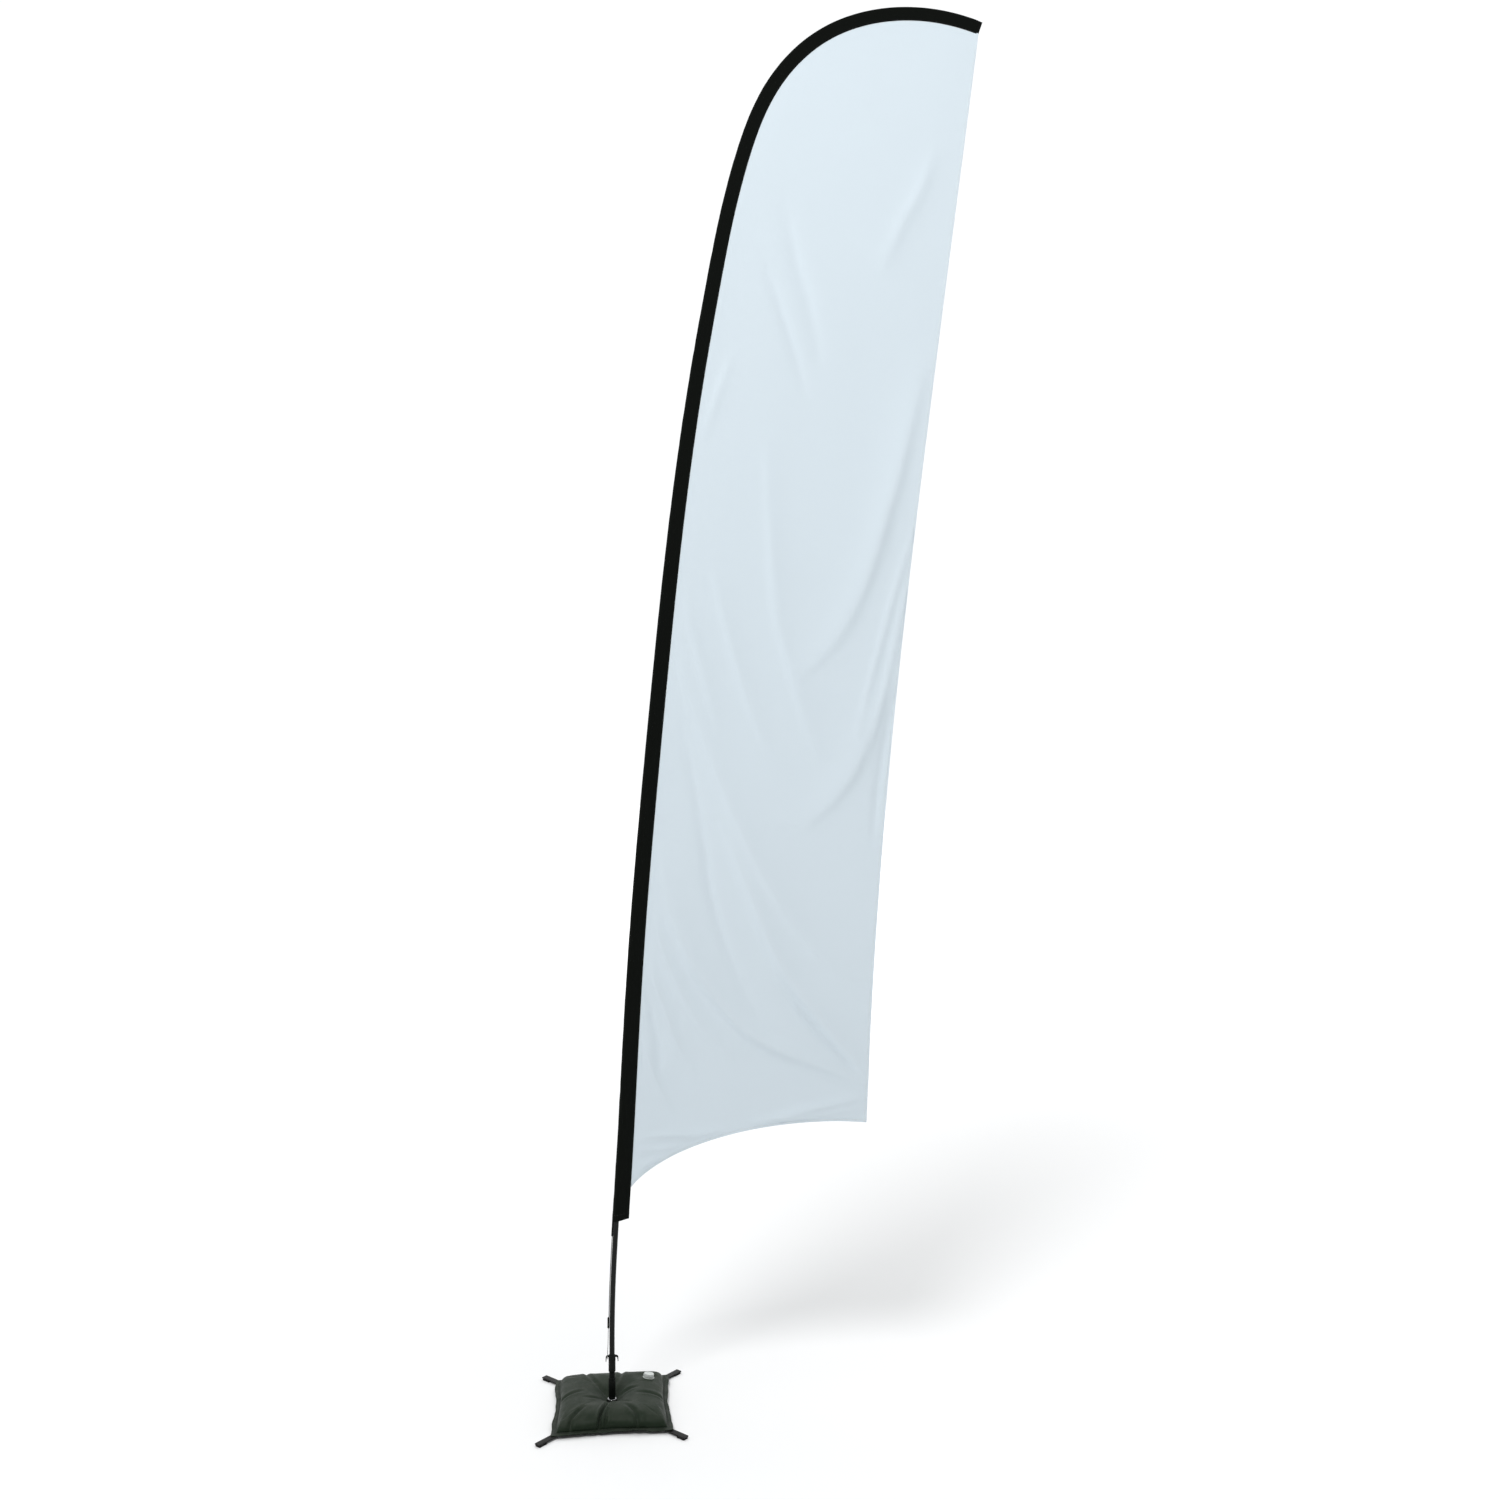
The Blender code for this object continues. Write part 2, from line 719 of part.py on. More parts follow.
def flag_panel():
    """Thin sheet between the sleeve's seam, the long free edge and the short curved lower edge."""
    seam = seam_line()
    foot = bezier(LEECH_FOOT, FOOT_PULL, seam[0], 14)
    leech = bezier(LEECH_FOOT, LEECH_PULL, seam[-1], 20)
    outline = seam + leech[:0:-1] + foot
    panel = flat_outline("flag_panel", [outline], PANEL_THICK, WHITE_FABRIC)
    panel.rotation_euler.x = math.radians(90.0)


def sleeve_tab():
    """Webbing tab sewn inside the sleeve's foot, to which the tension line is sewn."""
    low = mast_length_at(TAB_BOTTOM)
    high = mast_length_at(TAB_TOP)
    x, _, z = mast_point((low + high) / 2.0, -LINE_OFFSET)
    half = TAB_WIDTH / 2.0
    reach = (high - low) / 2.0
    outline = arc((-reach + half, 0.0), half, 90.0, 270.0, 7) + [(reach, -half), (reach, half)]
    tab = flat_outline("sleeve_tab", [outline], TAB_THICK, BLACK_WEBBING)
    lean = float(lean_at((low + high) / 2.0))
    tab.location = (x, 0.0, z)
    tab.rotation_euler = (0.0, lean - math.radians(90.0), 0.0)


def line_point(height, extra=0.0):
    return mast_point(mast_length_at(height), -LINE_OFFSET - extra)


def tension_line():
    """Cord from the tab to the cord lock, and an elastic loop from the lock to the left hook."""
    heights = np.linspace(TAB_BOTTOM - 0.0005, LOCK_TOP + 0.0005, 8)
    tube_line("tension_cord", [line_point(h) for h in heights], LINE_RADIUS, BLACK_CORD)

    x, _, z = line_point((LOCK_TOP + LOCK_BOTTOM) / 2.0, 0.0020)
    half = (LOCK_TOP - LOCK_BOTTOM) / 2.0
    lock = turned("cord_lock", [(0.0, half), (LOCK_RADIUS * 0.6, half), (LOCK_RADIUS, half - 0.003),
                                (LOCK_RADIUS, -half + 0.003), (LOCK_RADIUS * 0.6, -half),
                                (0.0, -half)], BLACK_PLASTIC, steps=16)
    lock.location = (x, 0.0, z)
    lock.rotation_euler.y = float(lean_at(mast_length_at(z)))

    hook_x = -0.0178
    beside = HOOK_THICK / 2.0 + ELASTIC_RADIUS + 0.0006
    crook = COLLAR_Z + 0.0030
    strand = [
        (x, 0.0018, LOCK_BOTTOM - 0.0008),
        (x - 0.0008, 0.0030, 0.300),
        (x - 0.0015, 0.0042, 0.260),
        (hook_x, beside, 0.222),
        (hook_x, beside, 0.207),
        (hook_x, beside * 0.75, crook + 0.0006),
    ]
    back = [(px, -py, pz) for px, py, pz in reversed(strand)]
    tube_line("elastic_loop", [*strand, (hook_x, 0.0, crook - 0.0004), *back],
              ELASTIC_RADIUS, GREY_ELASTIC)


# ---------------------------------------------------------------- ballast bag


def square_ring(half, height, squareness, corner_power=CORNER_POWER):
    """Ring between a circle (squareness 0) and a square with soft corners (squareness 1)."""
    points = []
    power = 2.0 + (corner_power - 2.0) * squareness
    for k in range(BAG_SIDES):
        angle = 2.0 * math.pi * k / BAG_SIDES
        c, s = math.cos(angle), math.sin(angle)
        reach = half / (abs(c) ** power + abs(s) ** power) ** (1.0 / power)
        points.append((reach * c, reach * s, height))
    return points


def crown_height(t):
    """Height of the bag's top, t from 0 at the hole to 1 at the seam."""
    rise = HOLE_TOP_Z + (BAG_CROWN - HOLE_TOP_Z) * math.sin(min(t / 0.45, 1.0) * math.pi / 2.0)
    fall = math.sqrt(max(0.0, 1.0 - (max(t - 0.45, 0.0) / 0.55) ** 2.6))
    return BAG_SEAM_Z + (rise - BAG_SEAM_Z) * fall


def bag_reach(t):
    return BAG_HOLE + (SEAM_HALF - BAG_HOLE) * t


def water_bag():
    """Filled square bag with a sewn rim all round and a hole in the middle for the spindle."""
    tops = (0.0, 0.08, 0.18, 0.30, 0.45, 0.60, 0.74, 0.86, 0.95, 1.0)
    rings = [square_ring(bag_reach(t), crown_height(t) + (0.0015 if t == 1.0 else 0.0), t**0.7)
             for t in tops]
    rings.append(square_ring(BAG_HALF, HEM_TOP_Z, 1.0, RIM_CORNER_POWER))
    rings.append(square_ring(BAG_HALF, HEM_TOP_Z - 0.002, 1.0, RIM_CORNER_POWER))
    rings.append(square_ring(SEAM_HALF, BAG_BOTTOM, 1.0))
    rings.append(square_ring(0.080, BAG_BOTTOM, 0.2))
    rings.append(square_ring(0.052, HUB_ROOM_Z, 0.0))
    rings.append(square_ring(BAG_HOLE, HUB_ROOM_Z, 0.0))
    bm = bmesh.new()
    loops = [[bm.verts.new(p) for p in points] for points in rings]
    for near, far in zip(loops, loops[1:] + loops[:1]):
        for i in range(BAG_SIDES):
            j = (i + 1) % BAG_SIDES
            bm.faces.new([near[i], far[i], far[j], near[j]])
    bmesh.ops.recalc_face_normals(bm, faces=bm.faces)
    mesh = bpy.data.meshes.new("water_bag")
    bm.to_mesh(mesh)
    bm.free()
    smooth(mesh)
    bag = link("water_bag", mesh, BAG_COATED)
    seat = turned("valve_seat", [(0.0, 0.05), (VALVE_FLANGE + GAP, 0.05),
                                 (VALVE_FLANGE + GAP, -0.005), (0.0, -0.005)], None, 24, CUTTERS)
    place_on_valve(seat)
    boolean(bag, seat, "DIFFERENCE")


def valve_frame():
    """Place and tilt of the filler: its axis leans outwards with the bag's top."""
    x, y = VALVE_XY
    outward = Vector((x, y, 0.0)).normalized()
    power = 2.0 + (CORNER_POWER - 2.0) * 0.8
    reach = (abs(x) ** power + abs(y) ** power) ** (1.0 / power)
    t = (reach - BAG_HOLE) / (SEAM_HALF - BAG_HOLE)
    lean = Matrix.Rotation(math.radians(VALVE_TILT), 4, Vector((-outward.y, outward.x, 0.0)))
    return Matrix.Translation((x, y, crown_height(t) + VALVE_SINK)) @ lean


def place_on_valve(made):
    made.matrix_world = valve_frame()


def filler_valve():
    """Threaded neck with its flange, seal, screw cap and the tether that keeps the cap."""
    neck = [
        (NECK_OUTER - 0.0006, 0.0080),
        (NECK_OUTER, 0.0074),
        (NECK_OUTER, -0.0022),
        (VALVE_FLANGE, -0.0022),
        (VALVE_FLANGE, -0.0044),
        (NECK_INNER, -0.0044),
        (NECK_INNER, 0.0080),
    ]
    place_on_valve(turned("filler_neck", neck, CLEAR_PLASTIC))
    skirt = NECK_OUTER + 0.0006
    cap = [
        (0.0, 0.0108),
        (0.0085, 0.0108),
        (0.0100, 0.0122),
        (CAP_RADIUS - 0.0015, 0.0122),
        (CAP_RADIUS, 0.0107),
        (CAP_RADIUS, 0.0008),
        (skirt, 0.0008),
        (skirt, 0.0095),
        (0.0, 0.0095),
    ]
    place_on_valve(turned("filler_cap", cap, CAP_PLASTIC, steps=32))
    place_on_valve(ring("cap_seal", NECK_INNER + 0.0004, NECK_OUTER, 0.0083, 0.0092, GREY_RUBBER,
                        edge=0.0001))

    eye = (0.0, 0.0255)
    outline = arc((0.0, 0.0), 0.0195, 120.0, 420.0, 26) + arc(eye, 0.0060, 0.0, 180.0, 9)
    holes = [circle((0.0, 0.0), NECK_OUTER + 0.0004, 20), circle(eye, 0.0028, 10)]
    tether = flat_outline("cap_tether", [outline, *holes], 0.0012, CLEAR_PLASTIC)
    turn = Matrix.Rotation(math.radians(40.0), 4, "Z")
    tether.matrix_world = valve_frame() @ Matrix.Translation((0.0, 0.0, -0.0003)) @ turn


# ---------------------------------------------------------------- whole object


def build():
    hub_foot()
    hub_plates()
    hub_fasteners()
    for side, angle in ARM_ANGLES.items():
        arm_rivet(side, angle)
        arm(side, angle)
    spindle()
    bearing_stack()
    turning_housing()
    mast_sections()
    mast_ends()
    hook_collar()
    flag_sleeve()
    flag_panel()
    sleeve_tab()
    tension_line()
    water_bag()
    filler_valve()


build()
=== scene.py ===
"""Looks of the free-standing feather flag: fabrics, water bag, metal, plastic, studio and camera.

Metres, +Z up. The origin is on the ground under the spindle. The flag hangs in the X-Z plane, towards +X.
"""

import math

import bmesh
import bpy
import numpy as np
from mathutils import Matrix, Vector


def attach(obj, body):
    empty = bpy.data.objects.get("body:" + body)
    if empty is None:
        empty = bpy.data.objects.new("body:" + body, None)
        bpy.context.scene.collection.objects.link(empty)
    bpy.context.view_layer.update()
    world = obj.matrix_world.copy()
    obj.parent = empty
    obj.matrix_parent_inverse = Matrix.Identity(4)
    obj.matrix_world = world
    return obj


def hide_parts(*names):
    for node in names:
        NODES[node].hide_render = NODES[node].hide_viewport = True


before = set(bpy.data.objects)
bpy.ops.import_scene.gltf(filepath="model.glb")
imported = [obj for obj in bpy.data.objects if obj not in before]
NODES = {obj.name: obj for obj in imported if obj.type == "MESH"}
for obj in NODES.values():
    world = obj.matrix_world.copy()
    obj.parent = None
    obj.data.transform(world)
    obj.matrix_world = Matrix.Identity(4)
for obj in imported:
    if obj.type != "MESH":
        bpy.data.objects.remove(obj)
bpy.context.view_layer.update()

bl_info = {
    "name": "Feather Flag Looks",
    "version": (1, 0, 0),
    "blender": (4, 5, 0),
    "location": "3D View > Sidebar > Feather Flag",
    "description": "Builds the fine surface of a feather flag on a cross base with a water bag",
    "category": "Object",
}

FINISHES = {}
GAP = 0.0003

# Cross base
ARM_REACH = 0.400
ARM_WIDTH = 0.025
ARM_Z = 0.0068
ARM_THICK = 0.005
PIVOT_RADIUS = 0.030
ARM_ANGLES = {"front_left": -135.0, "front_right": -45.0, "rear_right": 45.0, "rear_left": 135.0}

# Mast: outer radius of each section, bottom to top, and the arc length where it ends
SECTIONS = [
    ("mast_section_1", 0.0105, 1.3),
    ("mast_section_2", 0.0090, 2.6),
    ("mast_section_3", 0.0075, 3.9),
    ("mast_section_4", 0.0060, 5.1),
    ("mast_section_5", 0.0045, 6.1),
]
MAST_FOOT_Z = 0.1993
BEND_START_Z = 0.270

# Lean of the bent mast from upright, in degrees, at arc lengths from the start of the bend
LEAN = [
    (0.00, 0.0),
    (0.35, 3.0),
    (1.10, 2.9),
    (2.00, 4.9),
    (3.00, 6.0),
    (4.00, 9.7),
    (4.60, 13.1),
    (5.00, 23.0),
    (5.30, 44.0),
    (5.60, 70.0),
    (5.90, 92.0),
    (6.15, 109.0),
]

# Sleeve and panel
SLEEVE_START = 0.48
SLEEVE_END = 6.15
NOSE_BOTTOM = 0.0175
NOSE_TOP = 0.0075
TAIL_BOTTOM = 0.0485
TAIL_TOP = 0.0455
PANEL_START = 0.61
LEECH_FOOT = (1.036, 1.118)
LEECH_PULL = [(1.08, 2.60), (1.31, 4.08)]
FOOT_PULL = [(0.64, 1.16), (0.20, 1.05)]

# Folds of the panel: depth towards the front, width above and below the crest, then the crest's (x, z) points
FOLDS = [
    (0.0115, 0.040, 0.040, [(1.321, 5.109), (1.259, 4.942), (1.175, 4.782), (1.090, 4.600)]),
    (-0.0092, 0.030, 0.045, [(0.700, 4.860), (0.749, 4.628), (0.800, 4.450), (0.850, 4.200)]),
    (-0.0080, 0.020, 0.030, [(0.620, 4.620), (0.700, 4.390), (0.745, 4.240), (0.790, 4.080)]),
    (0.0080, 0.022, 0.030, [(0.480, 4.230), (0.414, 4.057), (0.350, 3.870)]),
    (0.0230, 0.080, 0.034, [(1.270, 4.200), (1.175, 3.800), (1.125, 3.625), (1.070, 3.440),
                            (1.000, 3.255), (0.900, 3.080), (0.760, 2.940)]),
    (0.0103, 0.016, 0.015, [(1.235, 3.560), (1.155, 3.300), (1.098, 3.092), (1.042, 2.887),
                            (0.995, 2.700)]),
    (0.0103, 0.015, 0.016, [(1.200, 3.300), (1.135, 3.000), (1.090, 2.805), (1.044, 2.620)]),
    (0.0207, 0.090, 0.030, [(1.110, 2.900), (1.050, 2.720), (0.985, 2.560), (0.890, 2.430),
                            (0.770, 2.330)]),
    (-0.0092, 0.016, 0.016, [(1.150, 2.880), (1.100, 2.600), (1.075, 2.420), (1.060, 2.250)]),
    (0.0103, 0.060, 0.022, [(0.620, 3.900), (0.640, 3.500), (0.667, 3.170), (0.720, 2.967),
                            (0.774, 2.784), (0.840, 2.600)]),
    (0.0092, 0.050, 0.018, [(0.400, 3.380), (0.443, 3.208), (0.488, 3.026), (0.549, 2.824),
                            (0.640, 2.600)]),
    (0.0080, 0.040, 0.018, [(0.270, 3.300), (0.330, 3.080), (0.375, 2.900), (0.430, 2.720)]),
    (0.0138, 0.070, 0.024, [(0.250, 3.050), (0.313, 2.843), (0.374, 2.662), (0.443, 2.480),
                            (0.530, 2.277), (0.640, 2.073), (0.780, 1.860), (0.930, 1.700)]),
    (-0.0103, 0.018, 0.024, [(0.280, 2.740), (0.313, 2.601), (0.342, 2.440), (0.374, 2.237),
                             (0.394, 2.075), (0.443, 1.893), (0.520, 1.690), (0.600, 1.540)]),
    (0.0184, 0.060, 0.020, [(0.440, 2.360), (0.490, 2.220), (0.557, 2.040), (0.630, 1.860),
                            (0.710, 1.710), (0.844, 1.540), (0.950, 1.410), (1.036, 1.290)]),
    (0.0287, 0.080, 0.022, [(0.180, 2.180), (0.224, 2.017), (0.313, 1.790), (0.443, 1.600),
                            (0.577, 1.470), (0.761, 1.385), (0.900, 1.330), (1.036, 1.272)]),
    (-0.0138, 0.015, 0.018, [(0.660, 1.720), (0.740, 1.620), (0.830, 1.500), (0.940, 1.380),
                             (1.030, 1.290)]),
    (0.0149, 0.040, 0.018, [(0.130, 2.080), (0.172, 1.917), (0.241, 1.734), (0.313, 1.592),
                            (0.400, 1.470), (0.470, 1.400)]),
    (0.0126, 0.030, 0.016, [(0.125, 1.880), (0.155, 1.740), (0.200, 1.620), (0.255, 1.460),
                            (0.330, 1.330)]),
    (-0.0103, 0.016, 0.022, [(0.130, 1.680), (0.165, 1.560), (0.185, 1.450), (0.190, 1.330)]),
    (0.0126, 0.024, 0.024, [(0.110, 1.500), (0.150, 1.380), (0.190, 1.280), (0.235, 1.190)]),
    (0.0126, 0.015, 0.015, [(0.095, 1.077), (0.212, 1.084), (0.330, 1.084), (0.460, 1.106)]),
    (0.0103, 0.015, 0.015, [(0.092, 1.028), (0.180, 1.030), (0.290, 1.052)]),
    (0.0161, 0.022, 0.015, [(0.560, 1.130), (0.680, 1.150), (0.800, 1.176), (0.920, 1.200),
                            (1.036, 1.222)]),
    (0.0092, 0.015, 0.015, [(0.640, 1.136), (0.800, 1.150), (0.930, 1.166), (1.040, 1.176)]),
    (0.0092, 0.015, 0.015, [(0.085, 0.940), (0.150, 0.982), (0.230, 1.016)]),
]

# Tension line beside the pole
LINE_OFFSET = 0.0130
LINE_RADIUS = 0.0015
LOCK_TOP = 0.365
LOCK_BOTTOM = 0.320
ELASTIC_RADIUS = 0.00125
TAB_BOTTOM = 0.688
TAB_TOP = 0.790

# Ballast bag
BAG_HALF = 0.234
SEAM_HALF = 0.215
BAG_HOLE = 0.022
BAG_WAIST = 0.040
BAG_BOTTOM = 0.0128
BAG_CROWN = 0.066
BAG_SEAM_Z = 0.0165
HOLE_TOP_Z = 0.030
HUB_ROOM_Z = 0.0180
HUB_ROOM_RADIUS = 0.052
VALVE_XY = (0.150, 0.118)
VALVE_Z = 0.066405
VALVE_TILT = 10.0
VALVE_SEAT_DEPTH = 0.0048
VALVE_SEAT_RADIUS = 0.0265
BAG_FRAMES = 24
BAG_MOVE = 0.022

# Creases of the filled bag: depth, width, and the plan line that each follows over the top and down
BAG_CREASES = [
    (0.0200, 0.0055, [(-0.020, -0.100), (-0.034, -0.145), (-0.045, -0.185), (-0.056, -0.240)]),
    (0.0080, 0.0060, [(-0.020, -0.150), (-0.024, -0.180), (-0.028, -0.240)]),
    (0.0090, 0.0080, [(-0.110, -0.120), (-0.140, -0.160), (-0.156, -0.190), (-0.166, -0.240)]),
    (0.0050, 0.0080, [(-0.120, 0.012), (-0.170, -0.002), (-0.205, -0.016), (-0.228, -0.020)]),
    (0.0080, 0.0085, [(0.060, -0.120), (0.084, -0.160), (0.096, -0.190), (0.100, -0.240)]),
    (0.0050, 0.0080, [(0.100, -0.012), (0.160, -0.030), (0.200, -0.036), (0.228, -0.042)]),
    (0.0060, 0.0090, [(0.020, 0.090), (0.036, 0.150), (0.040, 0.190), (0.046, 0.226)]),
    (0.0050, 0.0080, [(-0.070, 0.090), (-0.096, 0.150), (-0.108, 0.190), (-0.112, 0.226)]),
    (0.0045, 0.0075, [(0.018, -0.030), (0.044, -0.064), (0.070, -0.096)]),
    (0.0045, 0.0075, [(-0.032, -0.012), (-0.070, -0.030), (-0.108, -0.040)]),
    (0.0045, 0.0075, [(-0.022, 0.026), (-0.050, 0.060), (-0.074, 0.100)]),
    (0.0040, 0.0070, [(0.030, 0.016), (0.064, 0.030), (0.098, 0.034)]),
    (0.0040, 0.0070, [(0.004, 0.034), (0.010, 0.070), (0.024, 0.104)]),
    (0.0040, 0.0070, [(-0.006, -0.034), (-0.014, -0.066), (-0.020, -0.096)]),
]

# Panel cloth and sewing
PANEL_FRAMES = 14
PANEL_MOVE = 0.006
PANEL_THICK = 0.0005
FOLD_FADE = 0.075
THREAD_RADIUS = 0.00035

# Studio
FLOOR_HALF = 60.0
LAMP_PLACE = (-3.4, -6.5, 11.5)
LAMP_TARGET = (0.6, 0.0, 3.0)
LAMP_SIZE = 4.0


# ---------------------------------------------------------------- settings a user would change


class FeatherFlagFabric(bpy.types.PropertyGroup):
    panel_colour: bpy.props.FloatVectorProperty(
        name="Panel", description="Colour of the flag panel", subtype="COLOR",
        size=3, min=0.0, max=1.0, default=(0.645, 0.725, 0.780),
    )
    sleeve_colour: bpy.props.FloatVectorProperty(
        name="Sleeve", description="Colour of the mast sleeve", subtype="COLOR",
        size=3, min=0.0, max=1.0, default=(0.0034, 0.0043, 0.0034),
    )
    fold_depth: bpy.props.FloatProperty(
        name="Fold depth", description="Depth of the panel's folds, 1 as designed",
        min=0.0, max=2.0, default=1.0,
    )
    panel_grid: bpy.props.FloatProperty(
        name="Panel grid", description="Spacing of the panel's mesh", unit="LENGTH",
        min=0.008, max=0.05, default=0.011,
    )
    hem_width: bpy.props.FloatProperty(
        name="Hem", description="Width of the folded hem on the free edges", unit="LENGTH",
        min=0.004, max=0.03, default=0.011,
    )


class FeatherFlagBag(bpy.types.PropertyGroup):
    colour: bpy.props.FloatVectorProperty(
        name="Bag", description="Colour of the coated fabric", subtype="COLOR",
        size=3, min=0.0, max=1.0, default=(0.0125, 0.0215, 0.0115),
    )
    grid_cells: bpy.props.IntProperty(
        name="Cells", description="Mesh cells from the bag's middle to its seam",
        min=16, max=60, default=52,
    )
    slack: bpy.props.FloatProperty(
        name="Slack", description="How much larger the top's cut is than its filled shape",
        min=1.0, max=1.2, default=1.03,
    )
    pressure: bpy.props.FloatProperty(
        name="Pressure", description="Pressure of the water in the simulation",
        min=0.0, max=30.0, default=7.0,
    )
    rim_width: bpy.props.FloatProperty(
        name="Rim", description="Width of the rim outside the seam", unit="LENGTH",
        min=0.005, max=0.04, default=BAG_HALF - SEAM_HALF,
    )


class FeatherFlagMetal(bpy.types.PropertyGroup):
    steel_colour: bpy.props.FloatVectorProperty(
        name="Painted steel", description="Colour of the arms and hub plates", subtype="COLOR",
        size=3, min=0.0, max=1.0, default=(0.0055, 0.0060, 0.0058),
    )
    bare_colour: bpy.props.FloatVectorProperty(
        name="Bare steel", description="Steel where the paint has worn off", subtype="COLOR",
        size=3, min=0.0, max=1.0, default=(0.30, 0.30, 0.29),
    )
    plastic_colour: bpy.props.FloatVectorProperty(
        name="Plastic", description="Colour of the housing, collar and lock", subtype="COLOR",
        size=3, min=0.0, max=1.0, default=(0.0038, 0.0052, 0.0042),
    )
    turning_steps: bpy.props.IntProperty(
        name="Steps", description="Steps round a turned piece", min=24, max=160, default=80,
    )


class FeatherFlagStage(bpy.types.PropertyGroup):
    floor_colour: bpy.props.FloatVectorProperty(
        name="Floor", description="Colour of the floor and backdrop", subtype="COLOR",
        size=3, min=0.0, max=1.0, default=(0.93, 0.93, 0.93),
    )
    sky_strength: bpy.props.FloatProperty(
        name="Sky", description="Strength of the even light from all round",
        min=0.0, max=3.0, default=0.80,
    )
    key_power: bpy.props.FloatProperty(
        name="Key light", description="Power of the soft light from the upper left", unit="POWER",
        min=0.0, max=5000.0, default=680.0,
    )
    far_glow: bpy.props.FloatProperty(
        name="Far floor", description="Glow of the floor far from the flag",
        min=0.0, max=2.0, default=0.50,
    )
    camera_height: bpy.props.FloatProperty(
        name="Camera height", description="Height of the level camera", unit="LENGTH",
        min=0.1, max=6.0, default=2.6415,
    )
    camera_distance: bpy.props.FloatProperty(
        name="Camera distance", description="Distance of the camera from the flag's plane",
        unit="LENGTH", min=1.0, max=20.0, default=5.5,
    )
    camera_turn: bpy.props.FloatProperty(
        name="Camera turn", description="Turn of the camera towards the panel", subtype="ANGLE",
        default=math.radians(5.78),
    )
    camera_lens: bpy.props.FloatProperty(
        name="Lens", description="Focal length on a 36 mm sensor, in millimetres",
        min=10.0, max=200.0, default=32.71,
    )


def look(part):
    return getattr(bpy.context.scene, "feather_flag_" + part)


# ---------------------------------------------------------------- shader node groups


def new_group(name, inputs, outputs):
    """Node group with named sockets; sockets are (name, socket type, default)."""
    group = bpy.data.node_groups.new(name, "ShaderNodeTree")
    for title, kind, default in inputs:
        made = group.interface.new_socket(title, in_out="INPUT", socket_type="NodeSocket" + kind)
        if default is not None:
            made.default_value = default
    for title, kind in outputs:
        group.interface.new_socket(title, in_out="OUTPUT", socket_type="NodeSocket" + kind)
    return Graph(group)


class Graph:
    """Short ways to add and join nodes in a material's or a group's tree."""

    def __init__(self, tree):
        self.tree = tree
        if tree.bl_idname == "ShaderNodeTree" and tree.name in bpy.data.node_groups:
            self.source = tree.nodes.new("NodeGroupInput")
            self.target = tree.nodes.new("NodeGroupOutput")

    def feed(self, node, key, value):
        if isinstance(value, bpy.types.NodeSocket):
            self.tree.links.new(value, node.inputs[key])
        else:
            node.inputs[key].default_value = value

    def add(self, kind, values=None, **settings):
        node = self.tree.nodes.new("ShaderNode" + kind)
        for key, value in settings.items():
            setattr(node, key, value)
        for key, value in (values or {}).items():
            self.feed(node, key, value)
        return node

    def math(self, operation, a, b=0.0, c=0.0):
        node = self.add("Math", {0: a, 1: b, 2: c}, operation=operation)
        return node.outputs[0]

    def spread(self, value, low, high, new_low=0.0, new_high=1.0):
        node = self.add("MapRange", {"Value": value, "From Min": low, "From Max": high,
                                     "To Min": new_low, "To Max": new_high})
        return node.outputs["Result"]

    def noise(self, place, scale, detail=3.0, roughness=0.55):
        node = self.add("TexNoise", {"Vector": place, "Scale": scale, "Detail": detail,
                                     "Roughness": roughness})
        return node.outputs["Fac"]

    def place(self, stretch=None):
        socket = self.add("TexCoord").outputs["Object"]
        if stretch is None:
            return socket
        return self.add("Mapping", {"Vector": socket, "Scale": stretch}).outputs["Vector"]

    def split(self, vector, axis):
        return self.add("SeparateXYZ", {"Vector": vector}).outputs[axis]

    def blend(self, share, a, b, kind="MIX"):
        node = self.add("Mix", data_type="RGBA", blend_type=kind)
        self.feed(node, "Factor", share)
        self.feed(node, 6, a)
        self.feed(node, 7, b)
        return node.outputs[2]

    def group(self, name, **values):
        node = self.tree.nodes.new("ShaderNodeGroup")
        node.node_tree = bpy.data.node_groups[name]
        for key, value in values.items():
            self.feed(node, key.replace("_", " "), value)
        return node.outputs


def make_weave_group():
    """Plain weave: threads that pass over and under each other, by place on the piece."""
    g = new_group("plain_weave", [("Threads", "Float", 1200.0), ("Slub", "Float", 0.3)],
                  [("Height", "Float"), ("Gaps", "Float")])
    parts = g.add("SeparateXYZ", {"Vector": g.place()}).outputs
    along = g.math("ADD", parts["Y"], parts["Z"])
    turns = g.math("MULTIPLY", g.source.outputs["Threads"], math.pi)
    warp = g.math("SINE", g.math("MULTIPLY", parts["X"], turns))
    weft = g.math("SINE", g.math("MULTIPLY", along, turns))
    over = g.math("GREATER_THAN", g.math("MULTIPLY", warp, weft), 0.0)
    warp_round = g.math("ABSOLUTE", warp)
    weft_round = g.math("ABSOLUTE", weft)
    top = g.math("MULTIPLY", warp_round, over)
    under = g.math("MULTIPLY", weft_round, g.math("SUBTRACT", 1.0, over))
    threads = g.math("ADD", top, under)
    uneven = g.noise(g.place((1.0, 1.0, 0.08)), 260.0, 2.0)
    slub = g.math("MULTIPLY", uneven, g.source.outputs["Slub"])
    g.feed(g.target, "Height", g.math("ADD", threads, slub))
    g.feed(g.target, "Gaps", g.math("LESS_THAN", g.math("MAXIMUM", warp_round, weft_round), 0.25))


